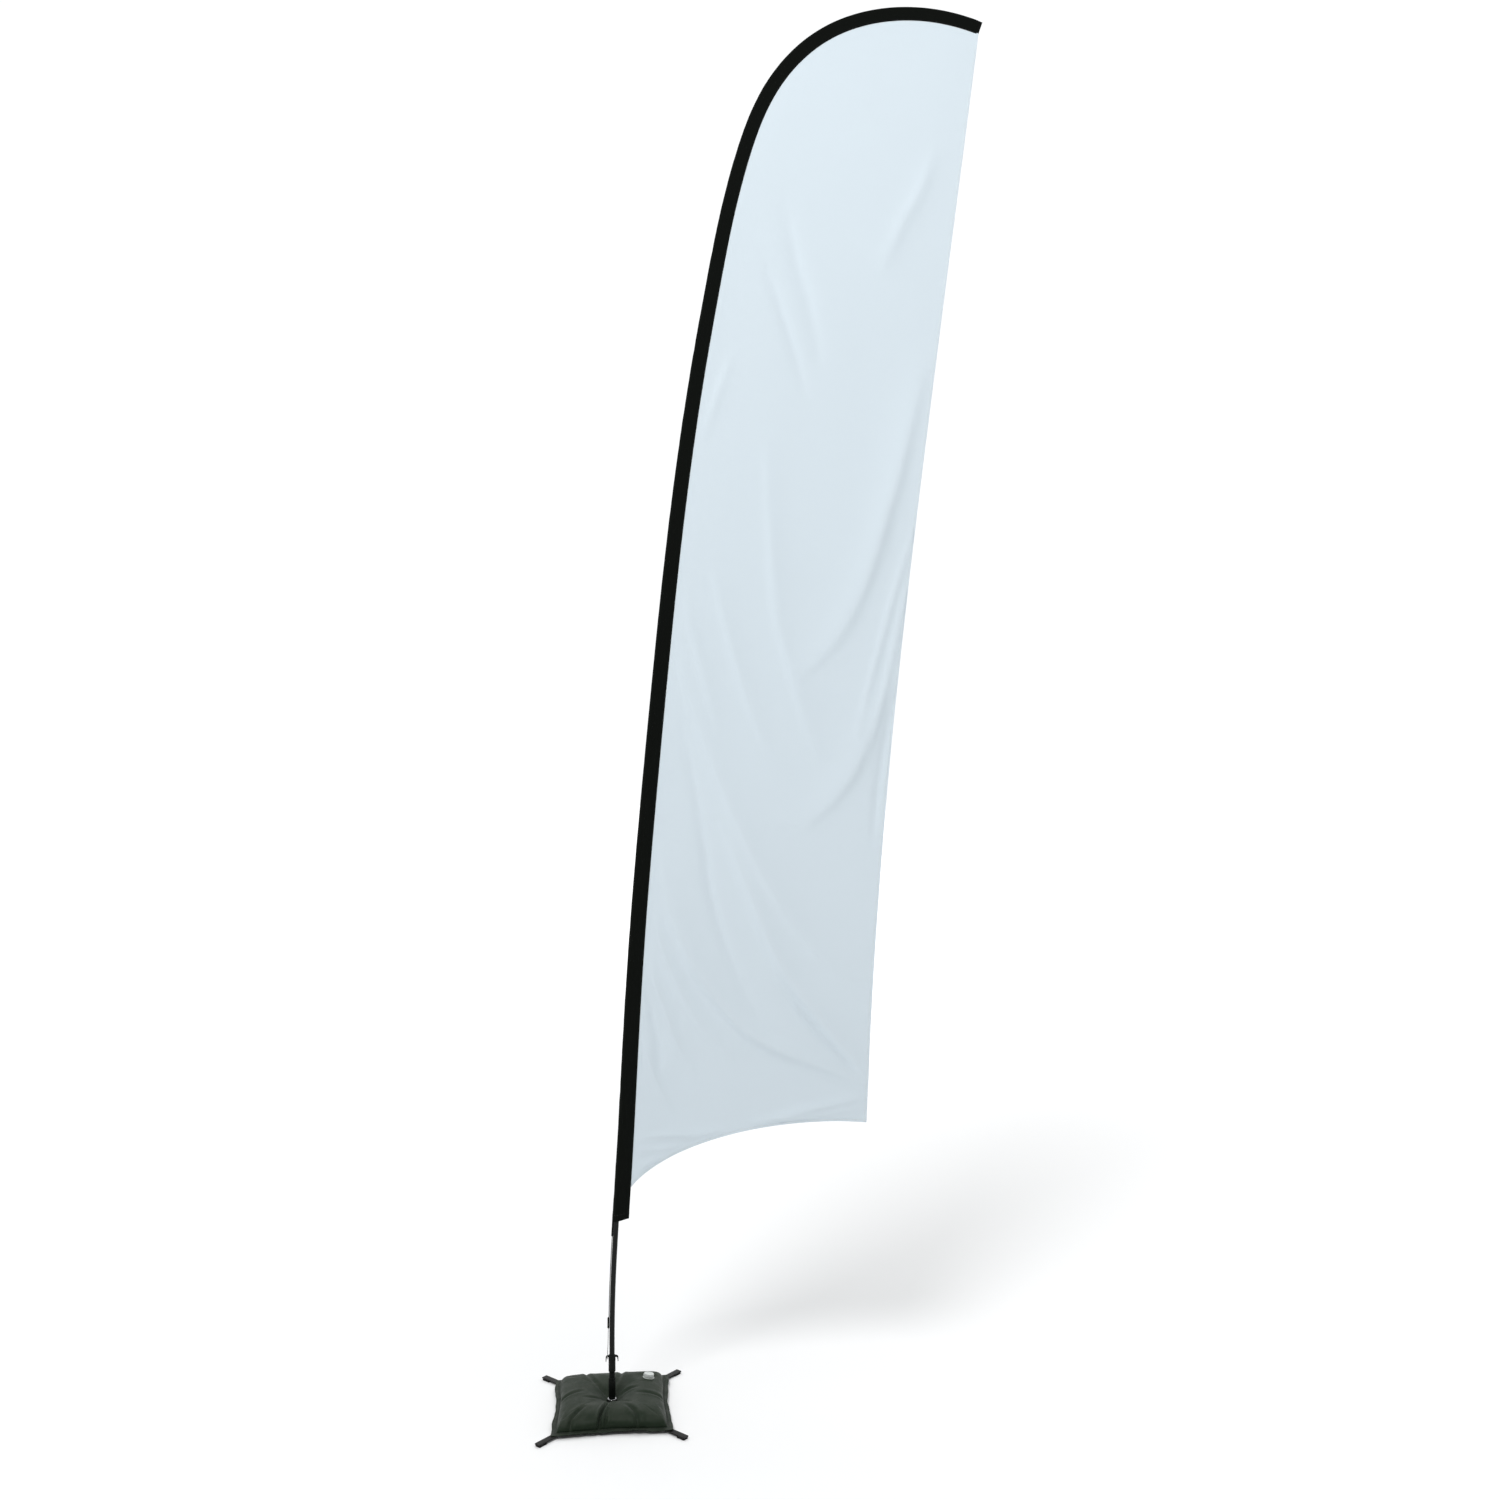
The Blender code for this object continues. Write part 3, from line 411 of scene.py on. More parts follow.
def make_tone_group():
    """Slow change of tone over a piece: large soft patches and small specks."""
    g = new_group("uneven_tone", [("Colour", "Color", (0.5, 0.5, 0.5, 1.0)),
                                  ("Patches", "Float", 0.08), ("Scale", "Float", 6.0),
                                  ("Specks", "Float", 0.04)],
                  [("Colour", "Color"), ("Value", "Float")])
    broad = g.noise(g.place(), g.source.outputs["Scale"], 2.0)
    fine = g.noise(g.place(), 900.0, 2.0)
    patch = g.math("MULTIPLY", g.math("SUBTRACT", broad, 0.5), g.source.outputs["Patches"])
    speck = g.math("MULTIPLY", g.math("SUBTRACT", fine, 0.5), g.source.outputs["Specks"])
    value = g.math("ADD", 1.0, g.math("MULTIPLY", g.math("ADD", patch, speck), 2.0))
    tone = g.add("CombineXYZ", {"X": value, "Y": value, "Z": value}).outputs[0]
    g.feed(g.target, "Colour", g.blend(1.0, g.source.outputs["Colour"], tone, "MULTIPLY"))
    g.feed(g.target, "Value", broad)


def make_wear_group():
    """Mask of worn outer edges, broken up by noise."""
    g = new_group("edge_wear", [("Width", "Float", 0.0008), ("Amount", "Float", 0.5)],
                  [("Worn", "Float")])
    soft = g.add("Bevel", {"Radius": g.source.outputs["Width"]}, samples=4).outputs["Normal"]
    flat = g.add("NewGeometry").outputs["Normal"]
    alike = g.add("VectorMath", {0: soft, 1: flat}, operation="DOT_PRODUCT").outputs["Value"]
    edge = g.spread(alike, 0.995, 0.90)
    broken = g.spread(g.noise(g.place(), 140.0, 4.0), 0.62, 0.42)
    kept = g.spread(g.source.outputs["Amount"], 0.0, 1.0)
    scuffs = g.spread(g.noise(g.place((1.0, 1.0, 4.0)), 45.0, 6.0, 0.7), 0.70, 0.74)
    faint = g.math("MULTIPLY", scuffs, 0.25)
    worn = g.math("MULTIPLY", g.math("MAXIMUM", g.math("MULTIPLY", edge, broken), faint), kept)
    g.feed(g.target, "Worn", worn)


def make_dust_group():
    """Pale dust that lies on what faces up, thicker in patches."""
    g = new_group("settled_dust", [("Colour", "Color", (0.5, 0.5, 0.5, 1.0)),
                                   ("Amount", "Float", 0.2)],
                  [("Colour", "Color"), ("Mask", "Float")])
    up = g.add("SeparateXYZ", {"Vector": g.add("NewGeometry").outputs["Normal"]}).outputs["Z"]
    facing = g.spread(up, 0.2, 1.0)
    patches = g.spread(g.noise(g.place(), 18.0, 5.0, 0.65), 0.38, 0.66)
    mask = g.math("MULTIPLY", g.math("MULTIPLY", facing, patches), g.source.outputs["Amount"])
    dusty = g.blend(mask, g.source.outputs["Colour"], (0.20, 0.19, 0.17, 1.0))
    g.feed(g.target, "Colour", dusty)
    g.feed(g.target, "Mask", mask)


def make_grain_group():
    """Fine moulded or powder-coated grain as a height."""
    g = new_group("fine_grain", [("Scale", "Float", 1500.0)], [("Height", "Float")])
    cells = g.add("TexVoronoi", {"Vector": g.place(), "Scale": g.source.outputs["Scale"]})
    fine = g.noise(g.place(), g.source.outputs["Scale"], 2.0)
    g.feed(g.target, "Height", g.math("ADD", g.math("MULTIPLY", cells.outputs["Distance"], 0.6), fine))


# ---------------------------------------------------------------- materials


class Finish(Graph):
    """A material with one Principled shader; constants are set on the shader's own sockets."""

    def __init__(self, name, **constants):
        self.material = bpy.data.materials.new(name)
        self.material.use_nodes = True
        super().__init__(self.material.node_tree)
        self.shader = self.tree.nodes["Principled BSDF"]
        for key, value in constants.items():
            self.shader.inputs[key.replace("_", " ")].default_value = value

    def set(self, key, value):
        self.feed(self.shader, key, value)

    def bump(self, height, distance, strength=1.0, under=None):
        values = {"Height": height, "Distance": distance, "Strength": strength}
        if under is not None:
            values["Normal"] = under
        socket = self.add("Bump", values).outputs["Normal"]
        self.set("Normal", socket)
        return socket


def four(colour):
    return (*tuple(colour)[:3], 1.0)


def woven(name, colour, threads, depth, patches=0.03, gloss=0.08, sheen=0.10, rough=0.85):
    """Woven polyester: thread relief, slight unevenness, a soft sheen and painted shade in the gaps between
    threads.
    """
    f = Finish(name, Specular_IOR_Level=gloss, Sheen_Weight=sheen, Sheen_Roughness=0.5)
    tone = f.group("uneven_tone", Colour=four(colour), Patches=patches, Scale=2.2, Specks=0.02)
    weave = f.group("plain_weave", Threads=threads, Slub=0.35)
    # Painted shade: the gaps between the threads are darkened towards this colour.
    gap_shade_colour = tuple(c * 0.80 for c in tuple(colour)[:3])
    painted_gap_shade = f.math("MULTIPLY", weave["Gaps"], 0.5)
    f.set("Base Color", f.blend(painted_gap_shade, tone["Colour"], four(gap_shade_colour)))
    f.set("Roughness", f.spread(weave["Height"], 0.0, 1.3, rough + 0.05, rough - 0.10))
    f.bump(weave["Height"], depth, 0.6)
    return f.material


def coated_cloth(name, colour, gloss=0.30):
    """Coated polyester: the base cloth shows through the skin as a low grid, with dust on top."""
    f = Finish(name, Specular_IOR_Level=gloss, Sheen_Weight=0.05)
    tone = f.group("uneven_tone", Colour=four(colour), Patches=0.12, Scale=9.0, Specks=0.08)
    dust = f.group("settled_dust", Colour=tone["Colour"], Amount=0.08)
    weave = f.group("plain_weave", Threads=900.0, Slub=0.5)
    f.set("Base Color", dust["Colour"])
    smears = f.noise(f.place(), 26.0, 5.0, 0.6)
    rough = f.spread(smears, 0.3, 0.7, 0.38, 0.58)
    f.set("Roughness", f.math("ADD", rough, f.math("MULTIPLY", dust["Mask"], 0.8)))
    creased = f.bump(f.noise(f.place(), 60.0, 4.0, 0.6), 0.0010, 0.35)
    f.bump(weave["Height"], 0.00012, 0.5, creased)
    return f.material


def painted_steel(name, colour, bare, wear=0.55):
    """Powder coat with its orange-peel grain, worn to grey steel along the edges."""
    f = Finish(name, Specular_IOR_Level=0.18)
    tone = f.group("uneven_tone", Colour=four(colour), Patches=0.15, Scale=20.0, Specks=0.10)
    dust = f.group("settled_dust", Colour=tone["Colour"], Amount=0.10)
    worn = f.group("edge_wear", Width=0.0010, Amount=wear)["Worn"]
    f.set("Base Color", f.blend(worn, dust["Colour"], four(bare)))
    f.set("Metallic", worn)
    f.set("Roughness", f.spread(worn, 0.0, 1.0, 0.46, 0.34))
    f.bump(f.group("fine_grain", Scale=1400.0)["Height"], 0.00008, 0.5)
    return f.material


def plated(name, colour, rough, lines=0.10):
    """Plated or ground steel with turning marks round Z."""
    f = Finish(name, Metallic=1.0)
    tone = f.group("uneven_tone", Colour=four(colour), Patches=0.06, Scale=40.0, Specks=0.03)
    marks = f.noise(f.place((0.05, 0.05, 1.0)), 4000.0, 2.0)
    f.set("Base Color", tone["Colour"])
    f.set("Roughness", f.spread(marks, 0.3, 0.7, max(0.02, rough - lines), rough + lines))
    f.bump(marks, 0.00002, 0.4)
    return f.material


def moulded(name, colour, rough=0.42, gloss=0.35, grain=1800.0, wear=0.10, pale=None):
    """Injection-moulded plastic: fine grain, slightly paler at rubbed edges."""
    f = Finish(name, Specular_IOR_Level=gloss)
    tone = f.group("uneven_tone", Colour=four(colour), Patches=0.12, Scale=30.0, Specks=0.06)
    worn = f.group("edge_wear", Width=0.0006, Amount=wear)["Worn"]
    rubbed = pale or tuple(min(1.0, c * 3.0 + 0.02) for c in tuple(colour)[:3])
    f.set("Base Color", f.blend(worn, tone["Colour"], four(rubbed)))
    f.set("Roughness", f.spread(f.noise(f.place(), 80.0, 3.0), 0.3, 0.7, rough - 0.06, rough + 0.08))
    f.bump(f.group("fine_grain", Scale=grain)["Height"], 0.00005, 0.5)
    return f.material


def rubber(name, colour):
    """Matt rubber with pitted grain and a dusty bloom."""
    f = Finish(name, Specular_IOR_Level=0.15)
    tone = f.group("uneven_tone", Colour=four(colour), Patches=0.25, Scale=24.0, Specks=0.16)
    dust = f.group("settled_dust", Colour=tone["Colour"], Amount=0.30)
    f.set("Base Color", dust["Colour"])
    f.set("Roughness", f.spread(tone["Value"], 0.3, 0.7, 0.82, 0.94))
    f.bump(f.group("fine_grain", Scale=1000.0)["Height"], 0.00012, 0.7)
    return f.material


def cord_cover(name, colour, fleck, gloss=0.12):
    """Braided cover: the geometry holds the strands, the shader their fibres and flecks."""
    f = Finish(name, Specular_IOR_Level=gloss, Sheen_Weight=0.15)
    tone = f.group("uneven_tone", Colour=four(colour), Patches=0.15, Scale=60.0, Specks=0.25)
    spots = f.spread(f.noise(f.place((1.0, 1.0, 0.35)), 1600.0, 2.0), 0.58, 0.64)
    f.set("Base Color", f.blend(f.math("MULTIPLY", spots, 0.5), tone["Colour"], four(fleck)))
    f.set("Roughness", f.spread(tone["Value"], 0.3, 0.7, 0.78, 0.92))
    f.bump(f.noise(f.place((1.0, 1.0, 0.12)), 6000.0, 2.0), 0.00008, 0.6)
    return f.material


def make_finishes():
    """Every finish, under the name of its slot in the part's record."""
    metal = look("metal")
    bag = look("bag")
    fabric = look("fabric")
    made = {
        "black_steel": painted_steel("black_steel_paint", metal.steel_colour, metal.bare_colour),
        "chrome": plated("chrome_plate", (0.62, 0.63, 0.64), 0.09, 0.04),
        "bearing_steel": plated("bearing_ground_steel", (0.52, 0.52, 0.53), 0.20),
        "zinc_steel": plated("zinc_plated_steel", (0.47, 0.47, 0.49), 0.36),
        "black_aluminium": moulded("black_anodised_tube", (0.004, 0.0052, 0.0046), 0.36, 0.18,
                                   2600.0, 0.25, (0.10, 0.10, 0.10)),
        "black_fibreglass": moulded("black_fibreglass_tube", (0.0045, 0.0048, 0.0045), 0.44, 0.16,
                                    900.0, 0.10),
        "black_plastic": moulded("black_moulded_plastic", metal.plastic_colour, 0.42, 0.16, wear=0.12),
        "black_rubber": rubber("black_foot_rubber", (0.012, 0.012, 0.012)),
        "black_fabric": woven("black_sleeve_cloth", fabric.sleeve_colour, 1500.0, 0.00012,
                              0.10, 0.04, 0.04, 0.90),
        "white_fabric": woven("white_panel_cloth", fabric.panel_colour, 1500.0, 0.00006,
                              0.010, 0.10, 0.05, 0.80),
        "black_webbing": woven("black_tab_webbing", (0.008, 0.008, 0.008), 900.0, 0.00020,
                               0.10, 0.06, 0.10, 0.90),
        "black_cord": cord_cover("black_cord_cover", (0.009, 0.009, 0.009), (0.05, 0.05, 0.05)),
        "grey_elastic": cord_cover("grey_elastic_cover", (0.30, 0.31, 0.31), (0.62, 0.62, 0.62)),
        "coated_fabric": coated_cloth("dark_coated_cloth", bag.colour, 0.12),
        "white_plastic": moulded("white_cap_plastic", (0.62, 0.65, 0.63), 0.34, 0.45, 1500.0, 0.10,
                                 (0.45, 0.45, 0.42)),
        "clear_plastic": moulded("milky_neck_plastic", (0.46, 0.49, 0.46), 0.28, 0.50, 1500.0, 0.05,
                                 (0.40, 0.42, 0.40)),
        "grey_rubber": rubber("grey_seal_rubber", (0.16, 0.16, 0.16)),
    }
    made["seam_thread"] = cord_cover("cream_sewing_thread", (0.66, 0.64, 0.58), (0.80, 0.78, 0.74))
    made["dark_thread"] = cord_cover("black_sewing_thread", (0.012, 0.013, 0.012), (0.05, 0.05, 0.05))
    made["bag_rim"] = coated_cloth("dark_rim_cloth", tuple(0.85 * c for c in bag.colour), 0.16)
    FINISHES.update(made)



# ---------------------------------------------------------------- making pieces


def mesh_from(name, points, faces):
    mesh = bpy.data.meshes.new(name)
    mesh.from_pydata([tuple(map(float, p)) for p in points], [], faces)
    mesh.validate()
    return mesh


def piece(name, mesh, body, finish, nodes=(), sharp=35.0, levels=0):
    """Link a mesh as a shown piece: its finish, smooth shading, the body it rides on and what it replaces."""
    made = bpy.data.objects.new(name, mesh)
    bpy.context.scene.collection.objects.link(made)
    mesh.materials.clear()
    mesh.materials.append(FINISHES[finish])
    mesh.shade_smooth()
    if sharp < 180.0:
        mesh.set_sharp_from_angle(angle=math.radians(sharp))
    if levels:
        finer = made.modifiers.new("finer", "SUBSURF")
        finer.levels = levels
        finer.render_levels = levels
    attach(made, body)
    if nodes:
        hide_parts(*nodes)
    return made



def quads(rows, columns, around=False, closed=False):
    """Faces between rows of points; around joins the last column to the first, closed the last row."""
    faces = []
    across = columns if around else columns - 1
    for r in range(rows if closed else rows - 1):
        below = ((r + 1) % rows) * columns
        for c in range(across):
            d = (c + 1) % columns
            faces.append((r * columns + c, r * columns + d, below + d, below + c))
    return faces


def welded(mesh, distance=0.000005):
    bm = bmesh.new()
    bm.from_mesh(mesh)
    bmesh.ops.remove_doubles(bm, verts=bm.verts, dist=distance)
    bmesh.ops.recalc_face_normals(bm, faces=bm.faces)
    bm.to_mesh(mesh)
    bm.free()
    return mesh


def softened(profile, radius, closed):
    """Profile with each corner cut by a small arc of three points, as a tool would leave it."""
    count = len(profile)
    points = []
    for i, corner in enumerate(profile):
        if not closed and i in (0, count - 1):
            points.append(corner)
            continue
        here = np.array(corner)
        before = np.array(profile[i - 1]) - here
        after = np.array(profile[(i + 1) % count]) - here
        long_before = np.linalg.norm(before)
        long_after = np.linalg.norm(after)
        cut = min(radius, 0.4 * long_before, 0.4 * long_after)
        start = here + before / long_before * cut
        end = here + after / long_after * cut
        middle = (start + end) / 4.0 + here / 2.0
        points += [tuple(start), tuple(middle), tuple(end)]
    return points


def turned_mesh(name, profile, corner=0.0003, steps=None):
    """Solid of revolution about Z from (radius, z) points down its outer side."""
    steps = steps or look("metal").turning_steps
    closed = profile[0][0] > 0.0
    line = softened(profile, corner, closed) if corner else profile
    angles = np.linspace(0.0, 2.0 * math.pi, steps, endpoint=False)
    points = [(r * math.cos(a), r * math.sin(a), z) for r, z in line for a in angles]
    mesh = mesh_from(name, points, quads(len(line), steps, around=True, closed=closed))
    return welded(mesh)


def plate_mesh(name, outlines, thickness, edge):
    """Flat piece in X-Y with rounded edges, centred on z = 0; later outlines are holes."""
    curve = bpy.data.curves.new(name, "CURVE")
    curve.dimensions = "2D"
    curve.fill_mode = "BOTH"
    curve.extrude = thickness / 2.0 - edge
    curve.bevel_depth = edge
    curve.bevel_resolution = 2
    curve.offset = -edge
    for outline in outlines:
        spline = curve.splines.new("POLY")
        spline.points.add(len(outline) - 1)
        for point, (x, y) in zip(spline.points, outline):
            point.co = (x, y, 0.0, 1.0)
        spline.use_cyclic_u = True
    shape = bpy.data.objects.new(name, curve)
    bpy.context.scene.collection.objects.link(shape)
    bpy.context.view_layer.update()
    mesh = bpy.data.meshes.new_from_object(shape.evaluated_get(bpy.context.evaluated_depsgraph_get()))
    bpy.data.objects.remove(shape, do_unlink=True)
    mesh.name = name
    return welded(mesh, 0.00001)


def arc(centre, radius, start, end, count):
    angles = np.radians(np.linspace(start, end, count))
    return [(centre[0] + radius * math.cos(a), centre[1] + radius * math.sin(a)) for a in angles]


def circle(centre, radius, count=32):
    return arc(centre, radius, 0.0, 360.0, count + 1)[:-1]


def unit(rows):
    return rows / np.maximum(np.linalg.norm(rows, axis=1), 1e-12)[:, None]


def line_frames(points, first_side=(0.0, 1.0, 0.0)):
    """Direction, side and up of each point of a line, without twist."""
    ahead = unit(np.gradient(points, axis=0))
    side = np.zeros_like(points)
    turn = np.array(first_side, float)
    for i, direction in enumerate(ahead):
        turn = turn - direction * (turn @ direction)
        turn /= np.linalg.norm(turn)
        side[i] = turn
    return ahead, side, np.cross(ahead, side)


def resampled(points, step):
    """The same line through a smooth curve, with points about a step apart."""
    points = np.array(points, float)
    fine = []
    padded = np.vstack([2 * points[0] - points[1], points, 2 * points[-1] - points[-2]])
    for i in range(len(points) - 1):
        a, b, c, d = padded[i : i + 4]
        for t in np.linspace(0.0, 1.0, 12, endpoint=False):
            fine.append(0.5 * (2 * b + (c - a) * t + (2 * a - 5 * b + 4 * c - d) * t**2
                               + (3 * b - a - 3 * c + d) * t**3))
    fine.append(points[-1])
    fine = np.array(fine)
    along = np.concatenate([[0.0], np.cumsum(np.linalg.norm(np.diff(fine, axis=0), axis=1))])
    marks = np.linspace(0.0, along[-1], max(2, int(round(along[-1] / step)) + 1))
    return np.column_stack([np.interp(marks, along, fine[:, k]) for k in range(3)])


def braided_mesh(name, points, radius, strands=6, pitch=4.0, relief=0.07, sides=20, loop=False):
    """Round cord whose surface bulges where its strands cross, with rounded ends."""
    points = resampled(points, radius * 0.42)
    _, side, up = line_frames(points)
    along = np.arange(len(points)) * radius * 0.42
    rings = []
    for i, centre in enumerate(points):
        ends = min(i, len(points) - 1 - i) * radius * 0.42
        full = 1.0 if ends >= radius else math.sqrt(max(0.05, 1.0 - (1.0 - ends / radius) ** 2))
        for k in range(sides):
            angle = 2.0 * math.pi * k / sides
            turn = 2.0 * math.pi * along[i] / (radius * pitch)
            right = abs(math.sin(strands / 2.0 * (angle + turn / strands * 2.0)))
            left = abs(math.sin(strands / 2.0 * (angle - turn / strands * 2.0)))
            reach = radius * full * (1.0 - relief + relief * max(right, left))
            rings.append(centre + reach * (math.cos(angle) * side[i] + math.sin(angle) * up[i]))
    faces = quads(len(points), sides, around=True)
    faces.append(tuple(range(sides))[::-1])
    last = (len(points) - 1) * sides
    faces.append(tuple(range(last, last + sides)))
    return welded(mesh_from(name, rings, faces), 1e-7)


def stitches_mesh(name, lines, length=0.0035, gap=0.0010, radius=0.00032, sides=6):
    """Rows of thread stitches: each stitch is a small capsule that dips into the cloth at its ends.

    Each line is (points, normals): where the thread lies and which way the cloth faces there.
    """
    ring = [(math.cos(2 * math.pi * k / sides), math.sin(2 * math.pi * k / sides)) for k in range(sides)]
    shape = [(0.0, -0.9, 0.35), (0.18, 0.35, 0.9), (0.5, 0.75, 1.0), (0.82, 0.35, 0.9), (1.0, -0.9, 0.35)]
    points, faces = [], []
    for line, normals in lines:
        line = np.array(line, float)
        normals = np.array(normals, float)
        along = np.concatenate([[0.0], np.cumsum(np.linalg.norm(np.diff(line, axis=0), axis=1))])
        count = max(1, int(along[-1] / (length + gap)))
        for s in range(count):
            start = s * (length + gap)
            rows = []
            for share, lift, width in shape:
                mark = start + share * length
                centre = np.array([np.interp(mark, along, line[:, k]) for k in range(3)])
                normal = np.array([np.interp(mark, along, normals[:, k]) for k in range(3)])
                normal /= max(np.linalg.norm(normal), 1e-9)
                rows.append((centre + normal * lift * radius, normal, width))
            ahead = rows[-1][0] - rows[0][0]
            ahead /= max(np.linalg.norm(ahead), 1e-9)
            base = len(points)
            for centre, normal, width in rows:
                across = np.cross(ahead, normal)
                for c, d in ring:
                    points.append(centre + radius * width * (c * across + d * normal))
            faces += [tuple(base + v for v in face) for face in quads(len(shape), sides, around=True)]
            faces.append(tuple(base + k for k in range(sides))[::-1])
            faces.append(tuple(base + (len(shape) - 1) * sides + k for k in range(sides)))
    return mesh_from(name, points, faces)


def keep_node(node, finish):
    """Show a CAD node as it is, with a finish of its own."""
    made = NODES[node]
    material = FINISHES[finish]
    if made.data.materials:
        made.data.materials[0] = material
    else:
        made.data.materials.append(material)


# ---------------------------------------------------------------- mast line


def lean_at(length):
    """Lean in radians, a smooth curve through the stations of LEAN."""
    marks = np.array([s for s, _ in LEAN])
    angles = np.radians([a for _, a in LEAN])
    slopes = np.gradient(angles, marks)
    length = np.clip(length, 0.0, marks[-1])
    i = np.clip(np.searchsorted(marks, length) - 1, 0, len(marks) - 2)
    step = marks[i + 1] - marks[i]
    t = (length - marks[i]) / step
    return (
        (2 * t**3 - 3 * t**2 + 1) * angles[i]
        + (t**3 - 2 * t**2 + t) * step * slopes[i]
        + (3 * t**2 - 2 * t**3) * angles[i + 1]
        + (t**3 - t**2) * step * slopes[i + 1]
    )


FINE = np.linspace(0.0, SLEEVE_END, 1231)
FINE_LEAN = lean_at(FINE)
FINE_STEP = FINE[1] - FINE[0]
FINE_MID = (FINE_LEAN[1:] + FINE_LEAN[:-1]) / 2
FINE_X = np.concatenate([[0.0], np.cumsum(np.sin(FINE_MID) * FINE_STEP)])
FINE_Z = np.concatenate([[0.0], np.cumsum(np.cos(FINE_MID) * FINE_STEP)])


def mast_points(length, across=0.0, aside=0.0):
    """Points at arc lengths of the mast, moved across it towards the flag, and aside along Y."""
    length, across, aside = np.broadcast_arrays(*(np.asarray(v, float) for v in (length, across, aside)))
    lean = lean_at(length)
    x = np.interp(length, FINE, FINE_X)
    z = BEND_START_Z + np.interp(length, FINE, FINE_Z) + np.minimum(length, 0.0)
    return np.stack([x + across * np.cos(lean), aside, z - across * np.sin(lean)], axis=-1)


def mast_length_at(height):
    """Arc length where the lower, rising part of the mast reaches a height."""
    return float(np.interp(height - BEND_START_Z, FINE_Z[:400], FINE[:400]))


def nose_at(length):
    return NOSE_BOTTOM + (NOSE_TOP - NOSE_BOTTOM) * length / SLEEVE_END


def tail_at(length):
    return TAIL_BOTTOM + (TAIL_TOP - TAIL_BOTTOM) * length / SLEEVE_END


# ---------------------------------------------------------------- cross base and turning parts


def pivot_point(angle):
    return (PIVOT_RADIUS * math.cos(math.radians(angle)), PIVOT_RADIUS * math.sin(math.radians(angle)))


def arm_pieces():
    """The four flat bars and the rubber pads under their tips."""
    half = ARM_WIDTH / 2.0
    long = ARM_REACH - PIVOT_RADIUS
    outline = arc((0.0, 0.0), half, 90.0, 270.0, 25) + [(long, -half), (long, half)]
    for side, angle in ARM_ANGLES.items():
        turn = Matrix.Rotation(math.radians(angle), 4, "Z")
        bar = plate_mesh("arm_bar_" + side, [outline, circle((0.0, 0.0), 0.0043)], ARM_THICK, 0.0008)
        bar.transform(Matrix.Translation((*pivot_point(angle), ARM_Z + ARM_THICK / 2.0)) @ turn)
        piece("arm_bar_" + side, bar, "leg_" + side, "black_steel", ["arm_" + side])
        pad = foot_pad("arm_pad_" + side)
        middle = ARM_REACH - 0.038 / 2.0 - 0.002
        pad.transform(turn @ Matrix.Translation((middle, 0.0, 0.0)))
        piece("arm_pad_" + side, pad, "leg_" + side, "black_rubber", ["arm_foot_" + side])


def foot_pad(name):
    """Rubber pad with rounded corners and two grooves round its sides."""
    long, wide, corner = 0.038 / 2.0, ARM_WIDTH / 2.0, 0.003
    levels = [(0.0, 0.0009), (0.0003, 0.0003), (0.0009, 0.0), (0.0019, 0.0), (0.0022, 0.0006),
              (0.0028, 0.0006), (0.0031, 0.0), (0.0039, 0.0), (0.0042, 0.0006), (0.0048, 0.0006),
              (0.0051, 0.0), (0.0060, 0.0), (0.0065, 0.0005)]
    points = []
    for z, inset in levels:
        x, y = long - inset - corner, wide - inset - corner
        for cx, cy, start in ((x, y, 0.0), (-x, y, 90.0), (-x, -y, 180.0), (x, -y, 270.0)):
            points += [(px, py, z) for px, py in arc((cx, cy), corner, start, start + 90.0, 7)]
    faces = quads(len(levels), 28, around=True)
    faces.append(tuple(range(28))[::-1])
    faces.append(tuple(range(28 * (len(levels) - 1), 28 * len(levels))))
    return welded(mesh_from(name, points, faces))


